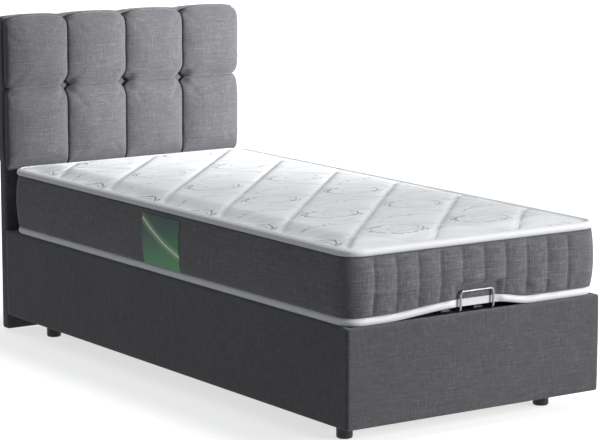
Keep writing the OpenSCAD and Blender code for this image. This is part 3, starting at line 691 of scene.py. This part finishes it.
def place_side(outline, profile):
    """Points of the mattress's side: one row for each outline station, from the underside up."""
    rows = []
    for cx, cy, nx, ny in outline:
        z = np.array([p[0] for p in profile])
        off = np.array([p[1] for p in profile])
        x = np.full_like(z, cx + nx * MAT_R)
        y = np.full_like(z, cy + ny * MAT_R)
        facing = ramp(-ny, 0.75, 0.99)
        border = ramp(z, BAND_H, BAND_H + 0.01) * (1 - ramp(z, TAPE_Z - 0.01, TAPE_Z))
        wave = ripple(np.stack([x, y, z * 1.5], axis=1), 0.16, 5.0) * 0.0022 * border
        off = off + wave + foot_relief(x, z, np.full_like(z, facing))
        press = (1 - ramp(np.abs(x), 0.070, 0.100)) * (1 - ramp(z, 0.066, 0.092)) * facing
        off = off * (1 - press) - 0.0100 * press
        depth = y - MAT_LO.y
        lift = foot_lift(x, depth) * (1 - ramp(z, 0.012, 0.11))
        rows.append(np.stack([x + nx * off, y + ny * off, MAT_LO.z + z + lift], axis=1))
    return rows


def stations(low, high):
    """The right side's outline between two places along the bed: centre and outward direction."""
    cx = MAT_X - MAT_R
    steps = 9
    found = []
    if low == MAT_LO.y:
        turns = [-math.pi / 2 * (1 - k / steps) for k in range(steps)]
        found += [(cx, MAT_LO.y + MAT_R, math.cos(a), math.sin(a)) for a in turns]
    start = max(low, MAT_LO.y + MAT_R)
    stop = min(high, MAT_HI.y - MAT_R)
    count = max(2, round((stop - start) / 0.0062))
    found += [(cx, start + (stop - start) * k / count, 1.0, 0.0) for k in range(count + 1)]
    if high == MAT_HI.y:
        turns = [math.pi / 2 * (k + 1) / steps for k in range(steps)]
        found += [(cx, MAT_HI.y - MAT_R, math.cos(a), math.sin(a)) for a in turns]
    return found


CAP_CORNERS = 40


def sharpen_caps(piece):
    """Keeps the flat caps' edges sharp, so that no line shows where two lengths meet."""
    mesh = piece.data
    flat = [polygon for polygon in mesh.polygons if len(polygon.vertices) > CAP_CORNERS]
    keys = {key for polygon in flat for key in polygon.edge_keys}
    mesh.edges.foreach_set("use_edge_sharp", [tuple(sorted(edge.vertices)) in keys for edge in mesh.edges])
    for polygon in flat:
        polygon.use_smooth = False


def across_share(foot):
    """Shares of the width at which the mattress's points lie, closer together beside the sewn channels."""
    if not foot:
        return np.linspace(-1.0, 1.0, 132)
    steps = (0.0013, 0.0032, 0.0060, 0.0100, 0.0160, 0.0240, 0.0320)
    beside = [c + side * d for c in FOOT_CHANNELS for d in steps for side in (-1, 1)]
    middles = [c + 0.039 for c in FOOT_CHANNELS]
    plain = list(np.linspace(-1.0, 1.0, 23) * (MAT_X - MAT_R))
    reach = MAT_X - MAT_R
    found = [-reach]
    for x in sorted(beside + middles + plain):
        if found[-1] + 0.0022 < x < reach - 0.0022:
            found.append(x)
    return np.array(found + [reach]) / reach


def mattress_part(name, low, high):
    """One length of the mattress: a closed skin of underside, band, border, edge roll and quilted top."""
    profile = side_profile()
    outline = stations(low, high)
    right = place_side(outline, profile)
    left = place_side([(-cx, cy, -nx, ny) for cx, cy, nx, ny in outline], profile)
    share = across_share(low == MAT_LO.y)
    columns = len(share)
    verts, faces, marks = [], [], []
    side_n = len(profile)
    border_low = 9
    border_high = side_n - 13

    def add(points):
        verts.extend(map(tuple, points))
        return len(verts) - len(points)

    def sheet(rows, mark, flip=False):
        first = add(np.concatenate(rows))
        made = grid_faces(len(rows), len(rows[0]), first)
        faces.extend([f[::-1] for f in made] if flip else made)
        marks.extend([mark(k % (len(rows[0]) - 1)) for k in range(len(made))])

    def side_mark(k):
        return 1 if k < border_low else (0 if k < border_high else 2)

    sheet(right, side_mark)
    sheet(left, side_mark, True)
    tops, bottoms = [], []
    for r_row, l_row in zip(right, left):
        for store, end in ((tops, -1), (bottoms, 0)):
            x = l_row[end][0] + (r_row[end][0] - l_row[end][0]) * (share + 1) / 2
            y = np.full_like(x, r_row[end][1])
            if end:
                edge = r_row[end][2]
                z = edge + top_height(x, y)
                z[0] = z[-1] = edge
            else:
                z = MAT_LO.z + 0.0005 + foot_lift(x, y - MAT_LO.y)
                z[0], z[-1] = l_row[0][2], r_row[0][2]
            store.append(np.stack([x, y, z], axis=1))
    sheet(tops, lambda k: 3)
    whole_bottom = low == MAT_LO.y
    sheet(bottoms if whole_bottom else [row[[0, -1]] for row in bottoms], lambda k: 4, True)

    def end_face(station, top, bottom, full_bottom):
        """The face across the foot or head end, as wide as the straight part between the corners."""
        facing = station[3]
        xs = top[:, 0] / top[-1, 0] * station[0]
        across = place_side([(x, station[1], 0.0, facing) for x in xs], profile)
        grid = np.array(across).transpose(1, 0, 2)
        grid[-1] = top
        if full_bottom:
            grid[0] = bottom
        first = add(grid.reshape(-1, 3))
        made = grid_faces(side_n, columns, first)
        faces.extend(made)
        marks.extend([side_mark(k // (columns - 1)) for k in range(len(made))])
        if not full_bottom:
            faces.append([first + k for k in range(columns)])
            marks.append(4)

    def flat_end(k):
        """A plain cap where two lengths of the mattress meet."""
        loop = [tuple(p) for p in right[k]] + [tuple(p) for p in tops[k][-2:0:-1]]
        loop += [tuple(p) for p in left[k][::-1]]
        if whole_bottom:
            loop += [tuple(p) for p in bottoms[k][1:-1]]
        first = len(verts)
        verts.extend(loop)
        faces.append([first + i for i in range(len(loop))])
        marks.append(4)

    if low == MAT_LO.y:
        end_face(outline[0], tops[0], bottoms[0], True)
    else:
        flat_end(0)
    if high == MAT_HI.y:
        end_face(outline[-1], tops[-1], bottoms[-1], False)
    else:
        flat_end(-1)
    finishes = [border_linen, white_tape, white_tape, cover_white, under_cloth]
    piece = piece_from(name, verts, faces, finishes, marks)
    sharpen_caps(piece)
    return piece


def bend_between(piece, cad_node, body_a, body_b, start, end):
    """Bakes a length of the mattress's place into its points, and lets it stand for its CAD solid."""
    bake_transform(piece)
    if cad_node:
        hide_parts(*cad_node)


# Each length's name and CAD nodes, the two bodies it bends between, and where the bend starts and ends
BENDS = [
    ("mattress_foot_length", ["mattress_legs", "mattress_thigh"],
     "thigh_section", "calf_section", -0.27, -0.49),
    ("mattress_seat_length", ["mattress_seat"], "base", "thigh_section", -0.010, -0.150),
    ("mattress_first_fold", ["mattress_bend_1"], "base", "mattress_first_bend", -0.006, 0.094),
    ("mattress_second_fold", ["mattress_bend_2"],
     "mattress_first_bend", "mattress_second_bend", 0.104, 0.204),
    ("mattress_head_length", ["mattress_back"], "mattress_second_bend", "mattress_back_rest", 0.214, 0.314),
]
for (name, nodes, *bend), low, high in zip(BENDS, CUTS, CUTS[1:]):
    bend_between(mattress_part(name, low, high), nodes, *bend)


def seam_lines(low, high, height):
    """Lines along one sewn seam of a length of the mattress, just proud of its groove."""
    profile = side_profile()
    # The groove is the point nearest this height that doesn't stand out
    miss = [abs(z - height) + 10 * max(0, off + 0.004) for z, off in profile]
    level = miss.index(min(miss))
    outline = stations(low, high)
    left = [(-cx, cy, -nx, ny) for cx, cy, nx, ny in outline]
    across = np.linspace(-1, 1, 121) * outline[0][0]
    foot = [(x, MAT_LO.y + MAT_R, 0.0, -1.0) for x in across]
    head = [(x, MAT_HI.y - MAT_R, 0.0, 1.0) for x in across]
    lines = [left[::-1] + foot + outline] if low == MAT_LO.y else [left, outline]
    if high == MAT_HI.y:
        lines = [left + head + outline[::-1]]
    found = []
    for line in lines:
        outward = [np.array([nx, ny, 0.0]) for _, _, nx, ny in line]
        rows = place_side(line, profile)
        found.append([row[level] + 0.0007 * out for row, out in zip(rows, outward)])
    return found


for (name, nodes, *bend), low, high in zip(BENDS, CUTS, CUTS[1:]):
    seams = seam_lines(low, high, BAND_H + 0.0005) + seam_lines(low, high, TAPE_Z + 0.0005)
    stitches = rods_along(name + "_stitches", seams, 0.0085, 0.0060, 0.0011, thread_white)
    bend_between(stitches, None, *bend)


def label_half(name, low, high):
    """Half of the label sewn on the left side: a thin slab that lies on the border."""
    profile = side_profile()
    rows = []
    along, up = 22, 28
    for y in np.linspace(low, high, along):
        row = place_side([(-(MAT_X - MAT_R), y, -1.0, 0.0)], profile)[0]
        zs = np.linspace(*LABEL_Z, up)
        xs = np.interp(zs, row[:, 2], row[:, 0])
        rows.append(np.stack([xs, np.full_like(zs, y), zs], axis=1))
    face = np.array(rows).reshape(-1, 3)
    verts, faces = slab(face - [0.0014, 0, 0], face + [0.0012, 0, 0], along, up)
    return piece_from(name, verts, faces, [green_label], smooth=False)


for name, bend, low, high in (("label_foot_half", BENDS[1], LABEL_Y[0], CUTS[2]),
                              ("label_head_half", BENDS[2], CUTS[2], LABEL_Y[1])):
    bend_between(label_half(name, low, high), None, *bend[2:])

# ---------------------------------------------------------------- surround

RIM_Z = SURROUND_HI.z
SKIRT_Z = SURROUND_LO.z


def surround_profile():
    """Outward offset and height round the padded cloth on a board: a closed C shape."""
    wall = HALF_W - BOARD_HI.x
    inside = HALF_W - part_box("foot_end_board")[1].x
    turned = inside + 0.0015
    top, bottom = BOARD_HI.z, BOARD_LO.z
    points = [(-turned, RIM_Z - 0.036), (-turned, RIM_Z - 0.004), (-turned + 0.003, RIM_Z - 0.0008)]
    for k in range(7):
        a = math.pi / 2 * (1 - k / 6)
        points.append((-0.007 + 0.007 * math.cos(a), RIM_Z - 0.0072 + 0.007 * math.sin(a)))
    count = 46
    for k in range(1, count):
        points.append((0.0, RIM_Z - 0.0072 - (RIM_Z - SKIRT_Z - 0.0132) * k / count))
    for k in range(6):
        a = math.pi / 2 * k / 5
        points.append((-0.006 + 0.006 * math.cos(a), SKIRT_Z + 0.006 - 0.006 * math.sin(a)))
    points += [(-inside, SKIRT_Z), (-inside, bottom - 0.0002), (-wall - 0.0002, bottom - 0.0002)]
    points += [(-wall - 0.0002, top + 0.0002), (-inside - 0.0001, top + 0.0002)]
    points += [(-inside - 0.0001, RIM_Z - 0.036)]
    return points


def surround_cover():
    """Cloth over thin padding round the left side, the foot end and the right side."""
    corner = 0.009
    length = HEAD_Y - (FOOT_Y + corner)
    along = max(2, round(length / 0.012))
    left = [(-HALF_W, HEAD_Y - length * k / along, -1.0, 0.0) for k in range(along + 1)]
    turn = [math.pi + math.pi / 2 * k / 6 for k in range(1, 6)]
    bend = [(-(HALF_W - corner) + corner * math.cos(a), FOOT_Y + corner + corner * math.sin(a),
             math.cos(a), math.sin(a)) for a in turn]
    width = 2 * (HALF_W - corner)
    across = round(width / 0.012)
    foot = [(-(HALF_W - corner) + width * k / across, FOOT_Y, 0.0, -1.0) for k in range(across + 1)]
    mirrored = [(-x, y, -nx, ny) for x, y, nx, ny in reversed(left + bend)]
    path = left + bend + foot + mirrored
    profile = surround_profile()
    rows = []
    for px, py, nx, ny in path:
        row = []
        for off, z in profile:
            x, y = px + nx * off, py + ny * off
            if off < -corner * 0.7:
                side = max(-1, min(1, round(nx * 1.4))) if abs(nx) > abs(ny) else 0
                if side:
                    x, y = side * (HALF_W + off), max(py, FOOT_Y - off)
                else:
                    x, y = max(-HALF_W - off, min(HALF_W + off, px)), FOOT_Y - off
            row.append((x, y, z))
        rows.append(row)
    grid = np.array(rows)
    outer = np.array([off > -0.002 for off, z in profile])
    flat = grid.reshape(-1, 3)
    give = ripple(flat, 0.11, 2.0) * 0.0009 + ripple(flat, 0.030, 7.0) * 0.00035
    up = (flat[:, 2] - SKIRT_Z) / (RIM_Z - SKIRT_Z)
    puff = 0.0016 * np.sin(np.pi * np.clip(up, 0, 1)) ** 0.6
    normals = np.repeat(np.array([(nx, ny) for _, _, nx, ny in path]), len(profile), axis=0)
    moved = np.tile(outer, len(path)) * (give + puff)
    flat[:, :2] += normals * moved[:, None]
    wrap = len(profile)
    last = (len(path) - 1) * wrap
    faces = tube_faces(len(path), wrap) + [list(range(wrap)), list(range(last, last + wrap))]
    cover = piece_from("surround_cover", flat, faces, [surround_linen])
    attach(cover, "base")
    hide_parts("left_side_cover", "right_side_cover", "foot_end_cover")


surround_cover()

# ---------------------------------------------------------------- headboard

LOWER = [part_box(f"cushion_lower_{k}") for k in range(1, 5)]
UPPER = [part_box(f"cushion_upper_{k}") for k in range(1, 5)]
SEAM_Z = (LOWER[0][1].z + UPPER[0][0].z) / 2
CUSHION_Z = LOWER[0][0].z
TOP_Z = HEAD_HI.z
SEAM_X = [(LOWER[k][1].x + LOWER[k + 1][0].x) / 2 for k in range(3)]
CROWN_Y = LOWER[0][0].y


def column_arch(x):
    """1 in the middle of a cushion column and 0 on the seams beside it."""
    edges = np.array([-HALF_W, *SEAM_X, HALF_W])
    k = np.clip(np.searchsorted(edges, x, side="right") - 1, 0, 3)
    s = (x - edges[k]) / (edges[k + 1] - edges[k])
    return np.clip(1 - np.abs(2 * s - 1) ** 2.6, 0, 1)


def headboard_wrap():
    """Cloth round the headboard's board, swelling a little at its top and sides beside each cushion."""
    edge = 0.008
    half = HALF_W
    xs = [-half + edge - edge * math.cos(math.pi / 2 * k / 6) for k in range(6)]
    count = 120
    xs += [-half + edge + (2 * half - 2 * edge) * k / count for k in range(count + 1)]
    xs += [half - edge + edge * math.cos(math.pi / 2 * k / 6) for k in range(5, -1, -1)]
    xs = np.array(xs)
    upright, flat = 150, 6
    arc = [math.pi / 2 * k / 6 for k in range(1, 6)]
    rows = []
    for x in xs:
        inset = edge - math.sqrt(max(0.0, edge ** 2 - max(0.0, abs(x) - (half - edge)) ** 2))
        front, back = HEAD_LO.y + inset, HEAD_HI.y - inset
        rise = 0.0055 * float(column_arch(np.array([x]))[0]) * ramp(half - abs(x), -0.002, 0.012)
        top, bottom = TOP_Z - inset + rise, HEAD_LO.z + inset
        loop = [(front, z) for z in np.linspace(bottom + edge, top - edge, upright)]
        loop += [(front + edge * (1 - math.cos(a)), top - edge + edge * math.sin(a)) for a in arc]
        loop += [(y, top) for y in np.linspace(front + edge, back - edge, flat)]
        loop += [(back - edge * (1 - math.cos(a)), top - edge + edge * math.sin(a)) for a in arc[::-1]]
        loop += [(back, z) for z in np.linspace(top - edge, bottom + edge, upright)]
        loop += [(back - edge * (1 - math.cos(a)), bottom + edge - edge * math.sin(a)) for a in arc]
        loop += [(y, bottom) for y in np.linspace(back - edge, front + edge, flat)]
        loop += [(front + edge * (1 - math.cos(a)), bottom + edge - edge * math.sin(a)) for a in arc[::-1]]
        rows.append([(x, y, z) for y, z in loop])
    wrap = len(rows[0])
    verts = np.array(rows).reshape(-1, 3)
    z = verts[:, 2]
    side = ramp(np.abs(verts[:, 0]), half - 0.009, half - 0.001) * np.sign(verts[:, 0])
    low = np.clip((z - CUSHION_Z) / (SEAM_Z - CUSHION_Z), 0, 1)
    high = np.clip((z - SEAM_Z) / (TOP_Z - SEAM_Z), 0, 1)
    swell = np.where(z > SEAM_Z, (4 * high * (1 - high)) ** 0.4, (4 * low * (1 - low)) ** 0.4)
    verts[:, 0] += side * (0.0055 * np.where(z > CUSHION_Z, swell, 0) - 0.002 * crease(z - CUSHION_Z, 0.003))
    faces = tube_faces(len(xs), wrap)
    # Each end is closed with strips from the front's points to the back's. The points run up the
    # front, over the top, down the back and along the underside.
    middle_top = upright + len(arc) + flat // 2
    back_foot = 2 * (upright + len(arc)) + flat - 1
    middle_low = back_foot + 1 + len(arc) + flat // 2
    near, far = list(range(middle_top)), list(range(back_foot, middle_top - 1, -1))
    near_low = [0] + list(range(wrap - 1, middle_low - 1, -1))
    far_low = list(range(back_foot, middle_low))
    for base in (0, (len(xs) - 1) * wrap):
        for one, other in ((near, far), (near_low, far_low)):
            strips = zip(one, one[1:], other[1:], other)
            faces += [tuple(base + c for c in strip) for strip in strips]
    cover = piece_from("headboard_wrap", verts, faces, [surround_linen])
    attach(cover, "base")
    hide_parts("headboard_cover")


headboard_wrap()

SWELL_CAP = 0.022
CLOTH_STEPS = 20
BLANK_DEPTH = 0.040
CROWN_DEPTH = 0.060


def cushion_blank(name, box):
    """A crowned closed form, slightly smaller than the finished cushion."""
    low, high = box
    n, inset, roundness = 26, 0.002, 15
    s = np.linspace(-1, 1, n)
    front, back = [], []
    for t in s:
        level = np.sqrt(np.clip((1 - np.abs(s) ** 5) * (1 - abs(t) ** 5), 0, 1))
        ring = np.maximum(np.maximum(np.abs(s), abs(t)), 1e-6)
        # The outline is a square with well rounded corners
        rounded = ((np.abs(s) / ring) ** roundness + (abs(t) / ring) ** roundness) ** (-1 / roundness)
        x = (low.x + high.x) / 2 + (high.x - low.x - 2 * inset) / 2 * s * rounded
        z = (low.z + high.z) / 2 + (high.z - low.z - 2 * inset) / 2 * t * rounded
        front.append(np.stack([x, HEAD_Y - 0.006 - BLANK_DEPTH * level, z], axis=1))
        back.append(np.stack([x, np.full(n, HEAD_Y - 0.001), z], axis=1))
    count = n * n
    faces = grid_faces(n, n) + [face[::-1] for face in grid_faces(n, n, count)]
    faces += [(b, a, a + count, b + count) for a, b in rim_pairs(n, n)]
    verts = np.concatenate(front + back)
    return piece_from(name, verts, faces, [surround_linen])


def inflate(obj):
    """Blows the blank up with the cloth solver and keeps the result as a plain mesh."""
    remesh = obj.modifiers.new("remesh", "REMESH")
    remesh.mode = "VOXEL"
    remesh.voxel_size = 0.0058
    obj = baked(obj)
    blank = coordinates(obj)
    cloth = obj.modifiers.new("cloth", "CLOTH")
    cloth.settings.use_pressure = True
    cloth.settings.uniform_pressure_force = 4.0
    cloth.settings.effector_weights.gravity = 0.0
    held = obj.vertex_groups.new(name="sewn_down")
    held.add([int(k) for k in np.nonzero(blank[:, 1] > HEAD_Y - 0.007)[0]], 1.0, "REPLACE")
    cloth.settings.vertex_group_mass = "sewn_down"
    cloth.settings.quality = 5
    cloth.point_cache.frame_start, cloth.point_cache.frame_end = 1, CLOTH_STEPS
    for step in range(1, CLOTH_STEPS + 1):
        bpy.context.scene.frame_set(step)
    obj = baked(obj)
    bpy.context.scene.frame_set(1)
    blown = coordinates(obj)
    move = blown - blank
    size = np.maximum(np.linalg.norm(move, axis=1, keepdims=True), 1e-9)
    set_coordinates(obj, blank + move * np.minimum(1.0, SWELL_CAP / size))
    return obj


def fit_cushion(obj, box, column, upper):
    """Presses a cushion against the board, its neighbours and the pulled-in points between four."""
    low, high = box
    p = coordinates(obj)
    spare = 0.0045
    x0 = low.x - 0.0005 if column > 0 else low.x - spare
    x1 = high.x + 0.0005 if column < 3 else high.x + spare
    z0 = SEAM_Z if upper else low.z
    z1 = high.z + 0.0065 if upper else SEAM_Z
    # The sides swell until neighbours press flat on each other
    depth = HEAD_Y - p[:, 1]
    bulge = np.sin(np.pi * np.clip(depth / CROWN_DEPTH, 0, 1)) ** 0.9
    for axis, lo, hi, swell in ((0, x0, x1, 0.13), (2, z0, z1, 0.11)):
        middle, half = (hi + lo) / 2, (hi - lo) / 2
        off = p[:, axis] - middle
        wide = np.abs(off) / half
        grown = wide + swell * ramp(wide, 0.45, 1.0) * bulge
        p[:, axis] = middle + np.sign(off) * half * np.minimum(grown, 1.0)
    scale = (HEAD_Y - CROWN_Y + 0.001) / depth.max()
    p[:, 1] = np.minimum(HEAD_Y - (HEAD_Y - p[:, 1]) * scale, HEAD_Y - 0.0004)
    if upper:
        # The top edge follows the arch of its column
        arch = column_arch(p[:, 0])
        p[:, 2] -= ramp(p[:, 2], z1 - 0.05, z1) * (1 - arch) * 0.0075
    # The corners are drawn in round the points where four cushions meet, and at the top of each seam
    for jx in SEAM_X:
        for jz, size in ((SEAM_Z, 0.044), (TOP_Z + 0.004, 0.026)):
            dx, dz = p[:, 0] - jx, p[:, 2] - jz
            r = np.hypot(dx, dz) + 1e-9
            pull = 1 - ramp(r, 0.0, size)
            p[:, 0] += pull * dx / r * size * 0.17
            p[:, 2] += pull * dz / r * size * 0.17
            p[:, 1] += pull * 0.50 * (HEAD_Y - 0.004 - p[:, 1]).clip(0)
    if not upper:
        # A thin rounded lip goes down behind the mattress
        lip = 0.036 * np.sqrt(ramp(p[:, 2], low.z - 0.001, low.z + 0.034))
        lip += 0.030 * ramp(p[:, 2], low.z + 0.030, low.z + 0.075)
        p[:, 1] = np.maximum(p[:, 1], HEAD_Y - lip)
    p[:, 1] += ripple(p, 0.055, 4.0 + column) * 0.0010
    p[:, 1] = np.minimum(p[:, 1], HEAD_Y - 0.0004)
    set_coordinates(obj, p)
    settle = obj.modifiers.new("settle", "SMOOTH")
    settle.factor, settle.iterations = 0.5, 5
    return baked(obj)


def headboard_cushion(row, column, box):
    name = f"headboard_cushion_{row}_{column + 1}"
    obj = inflate(cushion_blank(name, box))
    obj = fit_cushion(obj, box, column, row == "upper")
    smooth = obj.modifiers.new("smooth", "SUBSURF")
    smooth.levels = smooth.render_levels = 1
    obj = baked(obj)
    obj.data.materials.clear()
    obj.data.materials.append(surround_linen)
    obj.data.polygons.foreach_set("material_index", [0] * len(obj.data.polygons))
    obj.data.polygons.foreach_set("use_smooth", [True] * len(obj.data.polygons))
    keep_rest(obj)
    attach(obj, "base")
    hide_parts(f"cushion_{row}_{column + 1}")


LIP = Vector((0, 0, 0.030))
for column in range(4):
    headboard_cushion("lower", column, (LOWER[column][0] - LIP, LOWER[column][1]))
    headboard_cushion("upper", column, UPPER[column])


def back_lining():
    """Black lining over the board's back, stapled round its edge."""
    half, low, high = HALF_W - 0.028, 0.095, TOP_Z - 0.040
    y = HEAD_HI.y + 0.0008
    nx, nz = 70, 80
    xs, zs = np.linspace(-half, half, nx), np.linspace(low, high, nz)
    grid = np.array([[(x, y, z) for x in xs] for z in zs]).reshape(-1, 3)
    edge = np.minimum(half - np.abs(grid[:, 0]), np.minimum(grid[:, 2] - low, high - grid[:, 2]))
    grid[:, 1] += (0.0006 + 0.0006 * ripple(grid, 0.09, 6.0)) * ramp(edge, 0.004, 0.05)
    verts, faces = slab(grid, grid - [0, 0.0006, 0], nz, nx)
    lining = piece_from("headboard_lining", verts, faces, [black_cloth])
    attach(lining, "base")
    inset = 0.007
    x1, z0, z1 = half - inset, low + inset, high - inset
    corners = [(-x1, z0), (x1, z0), (x1, z1), (-x1, z1), (-x1, z0)]
    lines = []
    for (xa, za), (xb, zb) in zip(corners, corners[1:]):
        lines.append([(xa, y + 0.0007, za), (xb, y + 0.0007, zb)])
    staples = rods_along("lining_staples", lines, 0.048, 0.011, 0.0011, HARD["zinc"])
    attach(staples, "base")


back_lining()

# ---------------------------------------------------------------- camera, light and floor


def aim(obj, place, target):
    obj.location = place
    direction = Vector(target) - Vector(place)
    obj.rotation_mode = "QUATERNION"
    obj.rotation_quaternion = direction.to_track_quat("-Z", "Y")


def camera():
    """The camera in front of the foot end, to the left and a little above."""
    data = bpy.data.cameras.new("camera")
    data.lens = 156.88
    data.clip_end = 200
    obj = placed("camera", data)
    yaw, pitch = 0.5998, 0.1634
    obj.location = (-4.574, -6.805, 1.830)
    obj.rotation_euler = (math.pi / 2 - pitch, 0.0, -yaw)
    bpy.context.scene.camera = obj


def soft_light(name, kind, place, target, power):
    data = bpy.data.lights.new(name, kind)
    data.energy = power
    aim(placed(name, data), place, target)
    return data


def studio():
    """A plain pale floor in a bright room, lit from above and from the front right."""
    world = bpy.data.worlds.new("room")
    world.use_nodes = True
    bpy.context.scene.world = world
    room = Graph(world.node_tree)
    ray = room.add("ShaderNodeLightPath", output="Is Camera Ray")
    back = room.add("ShaderNodeBackground", None, {"Color": (1.0, 1.0, 1.0, 1.0), "Strength": 1.0})
    fill = room.add("ShaderNodeBackground", None, {"Color": (0.93, 0.96, 1.0, 1.0), "Strength": 0.26})
    mixed = room.add("ShaderNodeMixShader", None, {0: ray, 1: fill, 2: back})
    room.add("ShaderNodeOutputWorld", None, {"Surface": mixed})
    finish = Finish("pale_floor", Roughness=0.9, Base_Color=(0.92, 0.92, 0.92, 1.0), Specular_IOR_Level=0.1)
    finish.shader.inputs["Emission Color"].default_value = (1.0, 1.0, 1.0, 1.0)
    finish.shader.inputs["Emission Strength"].default_value = 0.66
    size = 60.0
    corners = [(-size, -size, 0), (size, -size, 0), (size, size, 0), (-size, size, 0)]
    mesh = bpy.data.meshes.new("floor")
    mesh.from_pydata(corners, [], [(0, 1, 2, 3)])
    mesh.materials.append(finish.material)
    floor = placed("floor", mesh)
    floor.visible_diffuse = False
    sun = soft_light("overhead", "SUN", (2.2, -1.6, 5.0), (0.0, 0.0, 0.0), 1.42)
    sun.angle = math.radians(24)
    front = soft_light("front", "AREA", (3.6, -5.6, 1.9), (0.1, -0.6, 0.4), 300)
    front.size = 1.7
    head = soft_light("headboard", "SPOT", (3.1, -3.3, 1.70), (0.25, 1.0, 0.92), 2650)
    head.spot_size = math.radians(19)
    head.spot_blend = 0.9
    head.shadow_soft_size = 0.45
    bpy.context.scene.view_settings.view_transform = "Standard"


camera()
studio()
